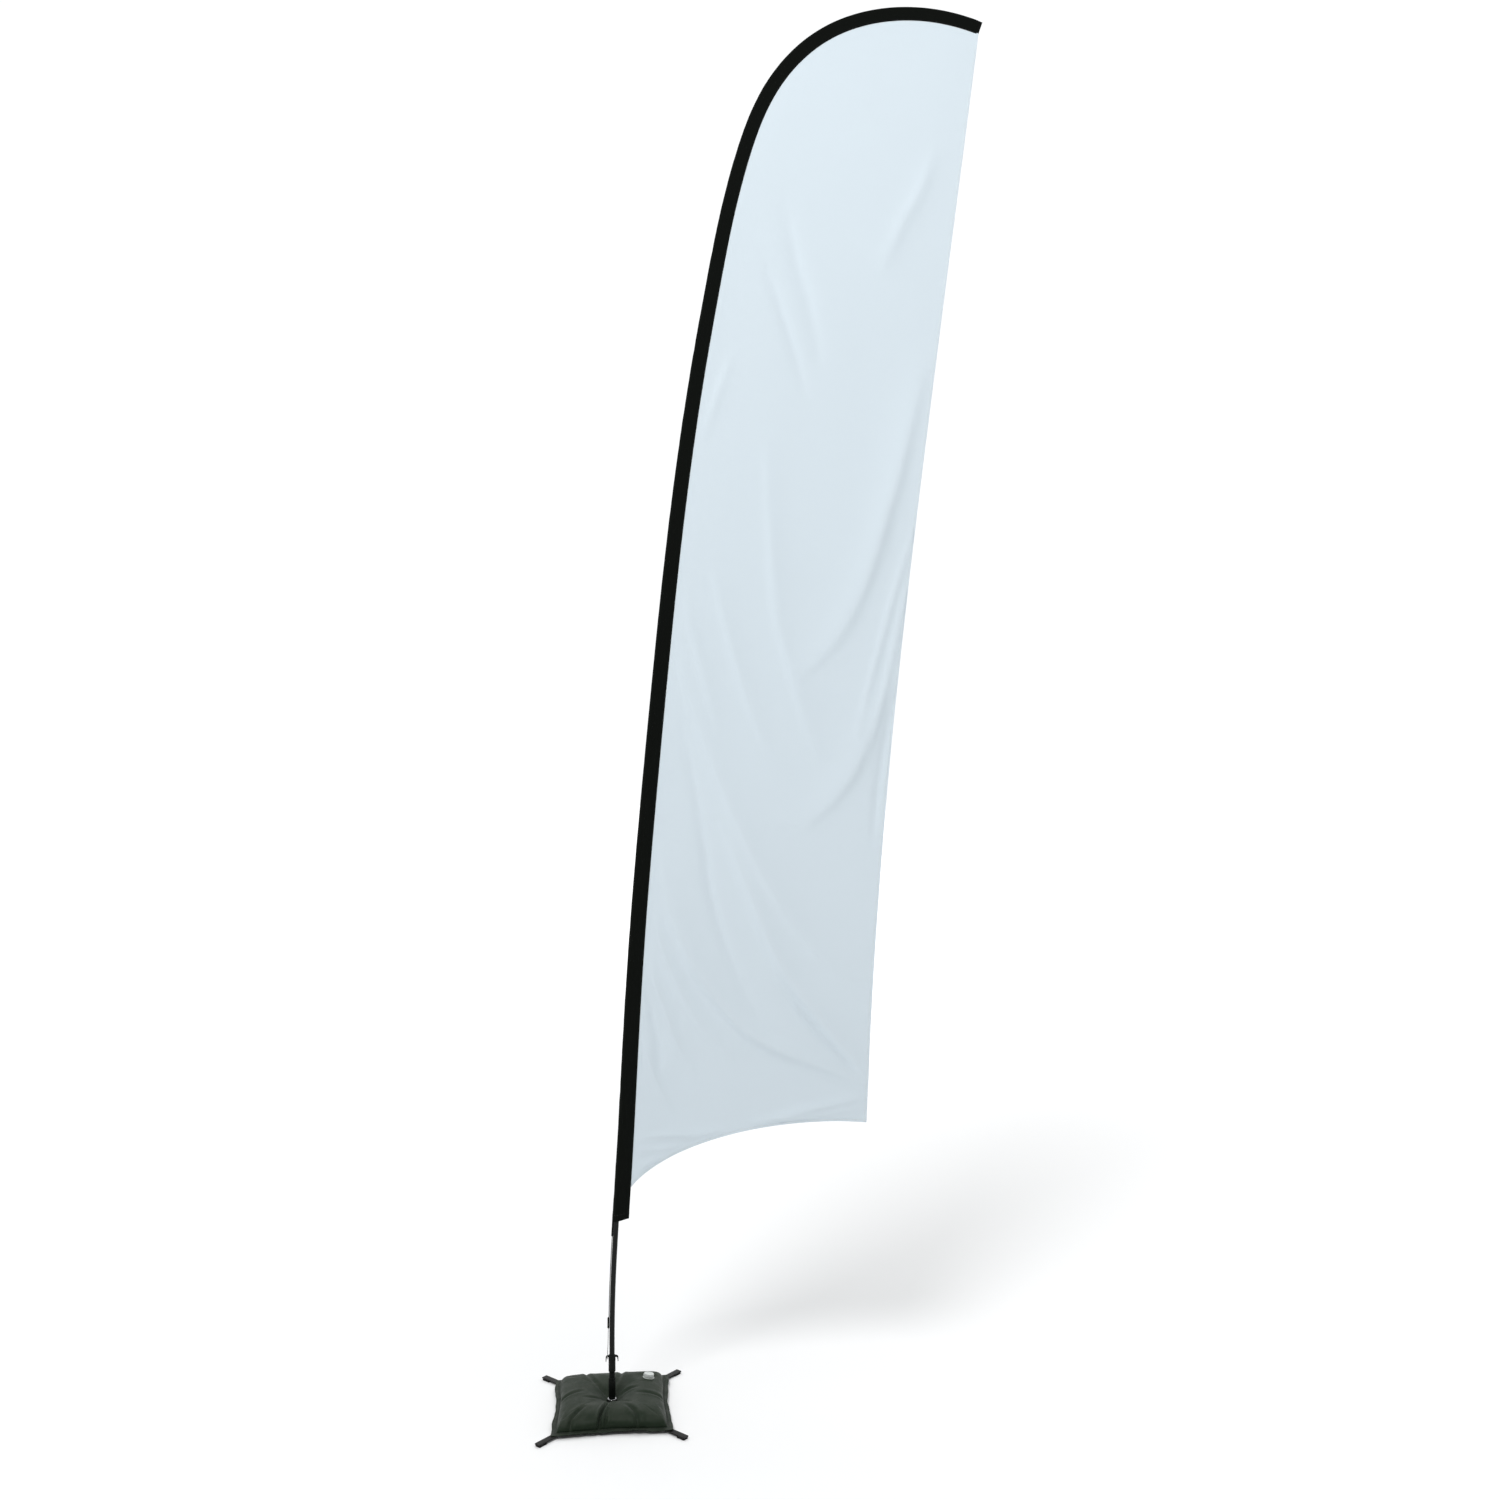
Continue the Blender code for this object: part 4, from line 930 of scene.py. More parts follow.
def hub_pieces():
    """Two plates, the spacer and bolt between them, the rivets and the rubber pad underneath."""
    corners = []
    for turn, angle in enumerate(sorted(ARM_ANGLES.values())):
        start = -180.0 + 90.0 * turn
        corners += arc(pivot_point(angle), 0.014, start, start + 90.0, 13)
    holes = [circle(pivot_point(angle), 0.0043, 24) for angle in ARM_ANGLES.values()]
    holes.append(circle((0.0, 0.0), 0.0063, 32))
    for node, middle in (("hub_plate_lower", 0.0050), ("hub_plate_upper", 0.0136)):
        plate = plate_mesh(node + "_pressed", [corners, *holes], 0.003, 0.0006)
        plate.transform(Matrix.Translation((0.0, 0.0, middle)))
        piece(node + "_pressed", plate, "base", "black_steel", [node])
    foot = [(0.0, 0.001), (0.0105, 0.001), (0.0105, 0.0032), (0.0212, 0.0032), (0.022, 0.0024),
            (0.022, 0.0), (0.0205, 0.0), (0.0195, 0.0004), (0.0185, 0.0), (0.0, 0.0)]
    piece("hub_pad", turned_mesh("hub_pad", foot, 0.0002), "base", "black_rubber", ["hub_foot"])
    spacer = [(0.0138, 0.0118), (0.014, 0.0116), (0.014, 0.0070), (0.0138, 0.0068), (0.0063, 0.0068),
              (0.0063, 0.0118)]
    piece("hub_spacer_ring", turned_mesh("hub_spacer_ring", spacer, 0.0002), "base", "zinc_steel",
          ["hub_spacer"])
    bolt = [(0.0, 0.028), (0.005, 0.028), (0.006, 0.027), (0.006, 0.0032), (0.010, 0.0032),
            (0.010, 0.0013), (0.0045, 0.0013), (0.0035, 0.0022), (0.0, 0.0022)]
    piece("hub_bolt", turned_mesh("hub_bolt", bolt, 0.0003), "base", "zinc_steel", ["base_bolt"])
    rivet = [(0.0, 0.0172), (0.0030, 0.0170), (0.0055, 0.0165), (0.0070, 0.0159), (0.0070, 0.0154),
             (0.004, 0.0154), (0.004, 0.0032), (0.0070, 0.0032), (0.0070, 0.0026), (0.0052, 0.0016),
             (0.0028, 0.0013), (0.0, 0.0013)]
    for side, angle in ARM_ANGLES.items():
        shape = turned_mesh("hub_rivet_" + side, rivet, 0.0002, 40)
        shape.transform(Matrix.Translation((*pivot_point(angle), 0.0)))
        piece("hub_rivet_" + side, shape, "base", "zinc_steel", ["rivet_" + side])


def spindle_pieces():
    """Spindle with its flange, and the chrome washer that the housing turns on."""
    spindle = [(0.0, 0.095), (0.005, 0.095), (0.006, 0.094), (0.006, 0.036), (0.0184, 0.036),
               (0.019, 0.0354), (0.019, 0.0334), (0.0186, 0.033), (0.0125, 0.033), (0.011, 0.0322),
               (0.011, 0.0154), (0.0063, 0.0154), (0.0063, 0.029), (0.0, 0.029)]
    piece("spindle_post", turned_mesh("spindle_post", spindle, 0.0004), "base", "black_steel",
          ["spindle"])
    washer = [(0.0163, 0.040), (0.0172, 0.0396), (0.0175, 0.0388), (0.0175, 0.0375), (0.0172, 0.0367),
              (0.0163, 0.0363), (0.0063, 0.0363), (0.0063, 0.040)]
    piece("turning_washer", turned_mesh("turning_washer", washer, 0.0003), "base", "chrome",
          ["thrust_washer"])
    for node, finish in (
        ("lower_bearing_inner_race", "bearing_steel"),
        ("upper_bearing_inner_race", "bearing_steel"),
        ("lower_bearing_outer_race", "bearing_steel"),
        ("upper_bearing_outer_race", "bearing_steel"),
        ("lower_bearing_ball_cage", "zinc_steel"),
        ("upper_bearing_ball_cage", "zinc_steel"),
        ("bearing_spacer", "zinc_steel"),
        ("bearing_retaining_ring", "zinc_steel"),
        ("spindle_nut", "zinc_steel"),
    ):
        keep_node(node, finish)


def housing_pieces():
    """Turning housing: the lower half on the bearings, the socket screwed into it for the mast."""
    lower = [(0.0132, 0.124), (0.014, 0.1232), (0.014, 0.1150), (0.0137, 0.1146), (0.0137, 0.1138),
             (0.014, 0.1134), (0.014, 0.0500), (0.0137, 0.0496), (0.0137, 0.0488), (0.014, 0.0484),
             (0.014, 0.0411), (0.0132, 0.0403), (0.0122, 0.0403), (0.0122, 0.088), (0.0103, 0.088),
             (0.0103, 0.097), (0.006, 0.097), (0.006, 0.100), (0.010, 0.100), (0.010, 0.124)]
    piece("turning_housing", turned_mesh("turning_housing", lower, 0.0005), "rotor",
          "black_plastic", ["bearing_housing"])
    upper = [(0.0132, 0.196), (0.014, 0.1952), (0.014, 0.1880), (0.0137, 0.1876), (0.0137, 0.1868),
             (0.014, 0.1864), (0.014, 0.1495), (0.0136, 0.1482), (0.0120, 0.1466), (0.0115, 0.1452),
             (0.0115, 0.1255), (0.0113, 0.1243), (0.0097, 0.1243), (0.0097, 0.1003), (0.006, 0.1003),
             (0.006, 0.107), (0.0083, 0.107), (0.0083, 0.196)]
    piece("turning_socket", turned_mesh("turning_socket", upper, 0.0005), "rotor",
          "black_plastic", ["mast_socket"])


# ---------------------------------------------------------------- mast, collar and tension line


def mast_pieces():
    """Five plugged sections, the spigot at the foot and the rubber cap at the tip."""
    sides = 36
    start = MAST_FOOT_Z - BEND_START_Z
    angles = np.linspace(0.0, 2.0 * math.pi, sides, endpoint=False)
    for index, (node, radius, end) in enumerate(SECTIONS):
        marks = np.concatenate([[start, start + 0.0006], np.arange(start + 0.02, end - 0.01, 0.03),
                                [end - 0.0006, end]])
        skins = []
        walls = [(radius, 0.0005)]
        if index < len(SECTIONS) - 1:
            walls.append((radius - 0.0012, 0.0))
        for reach, chamfer in walls:
            sizes = np.full(len(marks), reach)
            sizes[[0, -1]] -= chamfer
            skins.append(mast_points(marks[:, None], sizes[:, None] * np.cos(angles)[None],
                                     sizes[:, None] * np.sin(angles)[None]))
        if len(skins) == 2:
            points = np.concatenate([skins[0], skins[1][::-1]]).reshape(-1, 3)
            faces = quads(2 * len(marks), sides, around=True, closed=True)
        else:
            points = skins[0].reshape(-1, 3)
            faces = quads(len(marks), sides, around=True)
            faces += [tuple(range(sides)), tuple(range(len(points) - sides, len(points)))]
        shape = welded(mesh_from(node + "_tube", points, faces), 1e-7)
        finish = "black_aluminium" if index < 2 else "black_fibreglass"
        piece(node + "_tube", shape, "mast", finish, [node])
        start = round(end - 0.1, 3)
    spigot = [(0.0, 0.260), (0.0078, 0.260), (0.0088, 0.259), (0.0088, 0.199), (0.0104, 0.199),
              (0.0104, 0.1963), (0.0080, 0.1963), (0.0080, 0.1095), (0.0070, 0.1085), (0.0, 0.1085)]
    piece("mast_plug", turned_mesh("mast_plug", spigot), "mast", "black_plastic", ["mast_spigot"])
    rod_end = SECTIONS[-1][2]
    cap = turned_mesh("mast_tip_button", [(0.0, 0.018), (0.0018, 0.0176), (0.0034, 0.0158),
                                          (0.0045, 0.012), (0.0045, GAP), (0.0, GAP)], 0.0002, 40)
    lean = float(lean_at(rod_end))
    cap.transform(Matrix.Translation(mast_points(rod_end)) @ Matrix.Rotation(lean, 4, "Y"))
    piece("mast_tip_button", cap, "mast", "black_rubber", ["mast_tip_cap"])


def hook_outline():
    """Right-hand hook in (x, z): out from the collar, round and down, open below."""
    outer = [(0.0125, 0.2120), (0.017, 0.2123)] + arc((0.0165, 0.2035), 0.0088, 78.0, 0.0, 14)
    tip = [(0.0256, 0.196), (0.0254, 0.188), (0.0250, 0.1872), (0.0243, 0.1865), (0.0236, 0.1870),
           (0.0230, 0.188)]
    inner = [(0.0220, 0.196)] + arc((0.0165, 0.2005), 0.0045, 0.0, 90.0, 10) + [(0.0125, 0.2048)]
    return outer + tip + inner


def collar_piece():
    """Clamp collar with its two downward hooks, in one moulding."""
    ring = [(0.0134, 0.213), (0.0142, 0.2122), (0.0142, 0.2090), (0.0139, 0.2086), (0.0139, 0.2010),
            (0.0142, 0.2006), (0.0142, 0.1971), (0.0134, 0.1963), (0.0108, 0.1963), (0.0108, 0.213)]
    collar = bpy.data.objects.new("collar_core", turned_mesh("collar_core", ring, 0.0004))
    bpy.context.scene.collection.objects.link(collar)
    helpers = [collar]
    for side in (1.0, -1.0):
        outline = [(side * x, z) for x, z in hook_outline()]
        shape = plate_mesh("hook_core", [outline], 0.008, 0.0012)
        shape.transform(Matrix.Rotation(math.radians(90.0), 4, "X"))
        hook = bpy.data.objects.new("hook_core", welded(shape))
        bpy.context.scene.collection.objects.link(hook)
        helpers.append(hook)
        union = collar.modifiers.new("hook", "BOOLEAN")
        union.operation = "UNION"
        union.object = hook
    bpy.context.view_layer.update()
    mesh = bpy.data.meshes.new_from_object(collar.evaluated_get(bpy.context.evaluated_depsgraph_get()))
    for helper in helpers:
        bpy.data.objects.remove(helper, do_unlink=True)
    piece("hook_collar_moulding", mesh, "mast", "black_plastic", ["hook_collar"], sharp=40.0)


def line_point(height, extra=0.0, aside=0.0):
    return mast_points(mast_length_at(height), -LINE_OFFSET - extra, aside)


def tension_line_pieces():
    """Webbing tab, braided cord sewn to it, cord lock, and the elastic loop over the left hook."""
    low, high = mast_length_at(TAB_BOTTOM), mast_length_at(TAB_TOP)
    rows, columns = 150, 17
    marks = np.linspace(low, high, rows)
    across = np.linspace(-0.004, 0.004, columns)
    front = []
    for face in (1.0, -1.0):
        for mark in marks:
            reach = min(1.0, math.sqrt(max(0.0, 1.0 - (1.0 - min(1.0, (mark - low) / 0.004)) ** 2)) + 0.05)
            rib = 0.00012 * math.sin(2.0 * math.pi * (mark - low) / 0.0016)
            for offset in across:
                cord = 0.00010 * abs(math.sin(offset / 0.004 * math.pi * 2.5))
                edge = 1.0 - 0.55 * abs(offset / 0.004) ** 6
                thick = (0.00058 + rib + cord) * edge * max(0.5, reach)
                front.append(mast_points(mark, -LINE_OFFSET + offset * reach, -face * thick))
    half = rows * columns
    faces = quads(rows, columns)
    faces += [tuple(v + half for v in face)[::-1] for face in quads(rows, columns)]
    for r in range(rows - 1):
        for c in (0, columns - 1):
            a, b = r * columns + c, (r + 1) * columns + c
            faces.append((a, b, b + half, a + half))
    for r in (0, rows - 1):
        for c in range(columns - 1):
            a, b = r * columns + c, r * columns + c + 1
            faces.append((a, b, b + half, a + half))
    tab = welded(mesh_from("webbing_tab", front, faces), 1e-7)
    piece("webbing_tab", tab, "mast", "black_webbing", ["sleeve_tab"])
    bars = []
    for height in (0.6925, 0.6965, 0.7005):
        line = [line_point(height, extra, -0.0017) for extra in (-0.0024, 0.0024)]
        bars.append((line, [(0.0, -1.0, 0.0)] * 2))
    tack = stitches_mesh("tab_stitches", bars, 0.0022, 0.0003, 0.00028)
    piece("tab_stitches", tack, "mast", "dark_thread")

    cord = [line_point(0.7040, 0.0, -0.0020), line_point(0.6960, 0.0, -0.0020),
            line_point(0.6880, 0.0, -0.0012)]
    cord += [line_point(h) for h in np.linspace(0.680, LOCK_TOP - 0.004, 9)]
    shape = braided_mesh("tension_cord_braid", cord, LINE_RADIUS, 8, 5.0)
    piece("tension_cord_braid", shape, "mast", "black_cord", ["tension_cord"], sharp=180.0)

    x, _, z = line_point((LOCK_TOP + LOCK_BOTTOM) / 2.0, 0.0020)
    barrel = [(0.0, 0.0225), (0.0018, 0.0225), (0.0024, 0.0222), (0.0026, 0.0205), (0.0036, 0.0198),
              (0.0040, 0.0188)]
    for groove in (0.0110, 0.0085, 0.0060):
        barrel += [(0.0040, groove + 0.0006), (0.0036, groove + 0.0002), (0.0036, groove - 0.0002),
                   (0.0040, groove - 0.0006)]
    barrel += [(0.0040, -0.0080), (0.0037, -0.0084), (0.0037, -0.0094), (0.0040, -0.0098),
               (0.0040, -0.0195), (0.0034, -0.0212), (0.0024, -0.0225), (0.0, -0.0225)]
    lock = turned_mesh("cord_lock_barrel", barrel, 0.0002, 48)
    lean = float(lean_at(mast_length_at(z)))
    lock.transform(Matrix.Translation((x, 0.0, z)) @ Matrix.Rotation(lean, 4, "Y"))
    piece("cord_lock_barrel", lock, "mast", "black_plastic", ["cord_lock"])

    hook_x, beside, crook = -0.0178, 0.00585, 0.1993
    strand = [(x, 0.0018, LOCK_BOTTOM + 0.0010), (x - 0.0008, 0.0030, 0.300),
              (x - 0.0015, 0.0042, 0.260), (hook_x, beside, 0.222), (hook_x, beside, 0.207),
              (hook_x, beside * 0.75, crook + 0.0006)]
    back = [(px, -py, pz) for px, py, pz in reversed(strand)]
    loop = braided_mesh("elastic_loop_braid", [*strand, (hook_x, 0.0, crook - 0.0004), *back],
                        ELASTIC_RADIUS, 8, 4.0, 0.05, 16)
    piece("elastic_loop_braid", loop, "mast", "grey_elastic", ["elastic_loop"], sharp=180.0)


# ---------------------------------------------------------------- cloth simulation


def settled(name, mesh, held, frames, pressure=0.0, gravity=0.0, cut=None, stiffness=15.0, bend=0.5):
    """Where a cloth's points come to rest: held is each point's pin weight, cut its unstrained shape."""
    start = np.array([v.co for v in mesh.vertices])
    cloth_object = bpy.data.objects.new(name, mesh)
    bpy.context.scene.collection.objects.link(cloth_object)
    pins = cloth_object.vertex_groups.new(name="held")
    for index in np.nonzero(held > 0.0)[0]:
        pins.add([int(index)], float(held[index]), "REPLACE")
    if cut is not None:
        cloth_object.shape_key_add(name="filled")
        key = cloth_object.shape_key_add(name="cut")
        key.data.foreach_set("co", np.asarray(cut, np.float32).ravel())
        key.value = 0.0
    cloth = cloth_object.modifiers.new("cloth", "CLOTH").settings
    cloth.quality = 6
    cloth.mass = 0.25
    cloth.tension_stiffness = stiffness
    cloth.compression_stiffness = stiffness
    cloth.shear_stiffness = stiffness * 0.4
    cloth.bending_stiffness = bend
    cloth.air_damping = 2.0
    cloth.vertex_group_mass = "held"
    cloth.effector_weights.gravity = gravity
    if cut is not None:
        cloth.rest_shape_key = key
    if pressure:
        cloth.use_pressure = True
        cloth.uniform_pressure_force = pressure
    scene = bpy.context.scene
    for number in range(1, frames + 1):
        scene.frame_set(number)
    evaluated = cloth_object.evaluated_get(bpy.context.evaluated_depsgraph_get())
    result = np.array([v.co for v in evaluated.data.vertices])
    bpy.data.objects.remove(cloth_object, do_unlink=True)
    scene.frame_set(1)
    return start, result


def within(start, result, reach):
    """The moved points, none further than reach from where it started."""
    move = result - start
    far = np.linalg.norm(move, axis=1)
    return start + move * np.minimum(1.0, reach / np.maximum(far, 1e-9))[:, None]


# ---------------------------------------------------------------- flag panel


def bezier(start, pulls, end, t):
    a, b, c, d = (np.array(p, float) for p in (start, *pulls, end))
    t = np.asarray(t, float)[:, None]
    return (1 - t) ** 3 * a + 3 * t * (1 - t) ** 2 * b + 3 * t**2 * (1 - t) * c + t**3 * d


def evenly(points, count):
    """The same curve with count points at equal steps along it."""
    along = np.concatenate([[0.0], np.cumsum(np.linalg.norm(np.diff(points, axis=0), axis=1))])
    marks = np.linspace(0.0, along[-1], count)
    return np.column_stack([np.interp(marks, along, points[:, k]) for k in range(2)])


def smoothstep(value, low, high):
    t = np.clip((value - low) / (high - low), 0.0, 1.0)
    return t * t * (3.0 - 2.0 * t)


def panel_plan(rows, columns):
    """Grid of (x, z) points between the seam, the lower edge and the long free edge."""
    marks = np.linspace(PANEL_START, SLEEVE_END, rows)
    seam = mast_points(marks, tail_at(marks) - 0.003)[:, [0, 2]]
    fine = np.linspace(0.0, 1.0, 400)
    leech = evenly(bezier(LEECH_FOOT, LEECH_PULL, seam[-1], fine), rows)
    foot = evenly(bezier(LEECH_FOOT, FOOT_PULL, seam[0], fine), columns)[::-1]
    u = np.linspace(0.0, 1.0, rows)[:, None, None]
    v = np.linspace(0.0, 1.0, columns)[None, :, None]
    sides = (1 - v) * seam[:, None] + v * leech[:, None]
    ends = (1 - u) * foot[None] + u * seam[-1][None, None]
    corners = ((1 - u) * (1 - v) * seam[0] + (1 - u) * v * leech[0] + u * (1 - v) * seam[-1]
               + u * v * leech[-1])
    return sides + ends - corners


def signed_distance(plan, line):
    """Distance of each plan point from a crest line, above it positive, and its share along the line."""
    line = evenly(smooth_line(np.array(line, float)), 40)
    best = np.full(plan.shape[:-1], 1e9)
    signed = np.zeros_like(best)
    share = np.zeros_like(best)
    for i in range(len(line) - 1):
        a, b = line[i], line[i + 1]
        run = b - a
        t = np.clip(((plan - a) @ run) / (run @ run), 0.0, 1.0)
        gap = plan - (a + t[..., None] * run)
        far = np.linalg.norm(gap, axis=-1)
        closer = far < best
        best = np.where(closer, far, best)
        signed = np.where(closer, np.sign(gap[..., 1] + 1e-9) * far, signed)
        share = np.where(closer, (i + t) / (len(line) - 1), share)
    return signed, share


def smooth_line(points):
    flat = np.column_stack([points[:, 0], np.zeros(len(points)), points[:, 1]])
    return resampled(flat, 0.02)[:, [0, 2]]


def fold_depths(plan):
    """How far the panel stands towards the front (-Y) at each plan point."""
    depth = np.zeros(plan.shape[:-1])
    for tall, above, below, line in FOLDS:
        signed, share = signed_distance(plan, line)
        width = np.where(signed > 0.0, above, below)
        ends = np.sin(np.pi * np.clip(share * 0.94 + 0.03, 0.0, 1.0)) ** 0.7
        depth += tall * ends / (1.0 + (signed / width) ** 2) ** 1.5
    x, z = plan[..., 0], plan[..., 1]
    depth += 0.0016 * np.sin(3.1 * x + 2.3 * z + 0.4) + 0.0012 * np.sin(7.3 * x - 4.1 * z + 1.1)
    depth += 0.0007 * np.sin(17.0 * x + 9.0 * z) * np.sin(5.0 * z + 0.6)
    return depth * look("fabric").fold_depth


def panel_shape(rows, columns):
    plan = panel_plan(rows, columns)
    from_seam = np.linalg.norm(plan - plan[:, :1], axis=-1)
    depth = fold_depths(plan) * smoothstep(from_seam, 0.003, FOLD_FADE)
    depth *= smoothstep(np.linalg.norm(plan - plan[-1, -1], axis=-1), 0.0, 0.20)
    return np.stack([plan[..., 0], -depth, plan[..., 1]], axis=-1)


def upsampled(grid, rows, columns):
    """A coarse grid of values read off at a finer one, bilinearly."""
    r = np.linspace(0.0, grid.shape[0] - 1.0, rows)
    c = np.linspace(0.0, grid.shape[1] - 1.0, columns)
    r0 = np.minimum(r.astype(int), grid.shape[0] - 2)
    c0 = np.minimum(c.astype(int), grid.shape[1] - 2)
    fr = (r - r0)[:, None, None]
    fc = (c - c0)[None, :, None]
    low = grid[r0][:, c0] * (1 - fc) + grid[r0][:, c0 + 1] * fc
    high = grid[r0 + 1][:, c0] * (1 - fc) + grid[r0 + 1][:, c0 + 1] * fc
    return low * (1 - fr) + high * fr


def settled_sag(rows, columns):
    """How the panel moves when it hangs from its seam for a moment, as a grid of moves."""
    coarse = panel_shape(rows, columns)
    mesh = mesh_from("panel_cloth_trial", coarse.reshape(-1, 3), quads(rows, columns))
    held = np.zeros((rows, columns))
    held[:, 0] = 1.0
    held[-1, :] = 1.0
    held[0, -1] = 1.0
    start, result = settled("panel_cloth_trial", mesh, held.ravel(), PANEL_FRAMES,
                            gravity=0.10, bend=1.5)
    moved = within(start, result, PANEL_MOVE) - start
    return moved.reshape(rows, columns, 3)


def band_mesh(name, edge, inward, normals, width, thick):
    """Folded hem: a flat band round a free edge, thickest at its fold and at its inner edge."""
    section = [(width, 0.30), (width * 0.96, 1.0), (width * 0.55, 0.75), (width * 0.12, 1.0),
               (0.0, 0.75), (-0.0004, 0.0)]
    outline = section + [(u, -h) for u, h in section[-2::-1]]
    points = []
    for e, d, n in zip(edge, inward, normals):
        points += [e + d * u + n * h * thick for u, h in outline]
    sides = len(outline)
    faces = quads(len(edge), sides, around=True)
    faces += [tuple(range(sides)), tuple(range(len(points) - sides, len(points)))]
    return welded(mesh_from(name, points, faces), 1e-7)


def panel_pieces():
    """Thin white sheet with its folds, the hems of its free edges and their sewing."""
    step = look("fabric").panel_grid
    rows, columns = int(5.54 / step), int(0.98 / step)
    grid = panel_shape(rows, columns)
    grid += upsampled(settled_sag(230, 41), rows, columns)
    ahead = np.gradient(grid, axis=0)
    across = np.gradient(grid, axis=1)
    normals = unit(np.cross(across, ahead).reshape(-1, 3)).reshape(grid.shape)
    normals *= -np.sign(normals[..., 1:2] + 1e-9)
    sheet = welded(mesh_from("panel_cloth", grid.reshape(-1, 3), quads(rows, columns)), 1e-5)
    panel = piece("panel_cloth", sheet, "mast", "white_fabric", ["flag_panel"], sharp=180.0)
    skin = panel.modifiers.new("thickness", "SOLIDIFY")
    skin.thickness = PANEL_THICK
    skin.offset = 0.0

    hem = look("fabric").hem_width
    top = int(rows * 0.985)
    leech_in = unit(grid[:top, -3] - grid[:top, -1])
    leech = band_mesh("panel_leech_hem", grid[:top, -1], leech_in, normals[:top, -2], hem, 0.0007)
    foot_edge = grid[0, 1:]
    foot_in = unit(grid[2, 1:] - foot_edge)
    foot = band_mesh("panel_foot_hem", foot_edge, foot_in, normals[1, 1:], hem, 0.0007)
    trims = [piece("panel_leech_hem", leech, "mast", "white_fabric", sharp=60.0),
             piece("panel_foot_hem", foot, "mast", "white_fabric", sharp=60.0)]
    lines = []
    for face in (1.0, -1.0):
        for edge, inward, normal in ((grid[:top, -1], leech_in, normals[:top, -2]),
                                     (foot_edge, foot_in, normals[1, 1:])):
            lines.append((edge + inward * (hem * 0.80) + normal * face * 0.00075, normal * face))
        marks = np.linspace(PANEL_START + 0.01, SLEEVE_END - 0.03, 1200)
        line = mast_points(marks, tail_at(marks) + 0.0030, -face * 0.00035)
        lines.append((line, np.tile([0.0, -face, 0.0], (len(line), 1))))
    thread = stitches_mesh("panel_sewing", lines, 0.0050, 0.0012, THREAD_RADIUS, 5)
    trims.append(piece("panel_sewing", thread, "mast", "seam_thread", sharp=180.0))


# ---------------------------------------------------------------- mast sleeve


def sleeve_section(radius, tail, half_seam):
    """Teardrop (across, aside) points: round in front of the pole, drawn in behind it to the seam."""
    nose = np.radians(np.linspace(78.0, 282.0, 25))
    front = np.stack([radius * np.cos(nose), radius * np.sin(nose)], axis=1)
    share = np.linspace(0.0, 1.0, 10)[:-1, None]
    drawn_in = 0.0048 * share * (1.0 - share)
    sag = np.hstack([np.zeros_like(share), drawn_in])
    upper = (1 - share) * np.array([tail, half_seam]) + share * front[0] - sag
    lower = share[::-1] * front[-1] + (1 - share[::-1]) * np.array([tail, -half_seam]) + sag
    return np.concatenate([upper, front, lower])


def sleeve_rings(marks, inset):
    rings = []
    for mark in marks:
        thick = 1.0 - 0.86 * float(smoothstep(mark, 6.121, 6.147))
        doubled = 0.0005 * (1.0 - float(smoothstep(mark - SLEEVE_START, 0.029, 0.032)))
        radius = nose_at(mark) - inset
        section = sleeve_section(radius, tail_at(mark) + 0.0015 - 5.0 * inset, 0.0013 - 0.8 * inset)
        turn = np.arctan2(section[:, 1], section[:, 0])
        outward = unit(np.stack([0.25 * section[:, 0], section[:, 1]], axis=1))
        bend = float(smoothstep(mark, 4.5, 5.0))
        ripple = (0.45 * np.sin(2 * np.pi * mark / 0.213 + 1.7 * turn)
                  + 0.35 * np.sin(2 * np.pi * mark / 0.131 - 2.3 * turn + 1.0)
                  + 0.22 * np.sin(2 * np.pi * mark / 0.067 + 3.1 * turn + 2.0)
                  + bend * 0.40 * np.sin(2 * np.pi * mark / 0.038 + 0.8 * turn))
        ripple *= 0.0007 * (0.6 + 0.4 * math.sin(1.9 * mark)) * (section[:, 0] < tail_at(mark) - 0.006)
        section = section + outward * (ripple + doubled)[:, None]
        section[:, 1] *= thick
        share = np.clip((section[:, 0] + radius) / (tail_at(mark) + radius), 0.0, 1.0)
        lift = 0.0125 * share**2 + 0.002 * np.sin(np.pi * share)
        lift *= np.clip(1.0 - (mark - SLEEVE_START) / 0.16, 0.0, 1.0)
        rings.append(mast_points(mark + lift, section[:, 0], section[:, 1]))
    return np.array(rings)


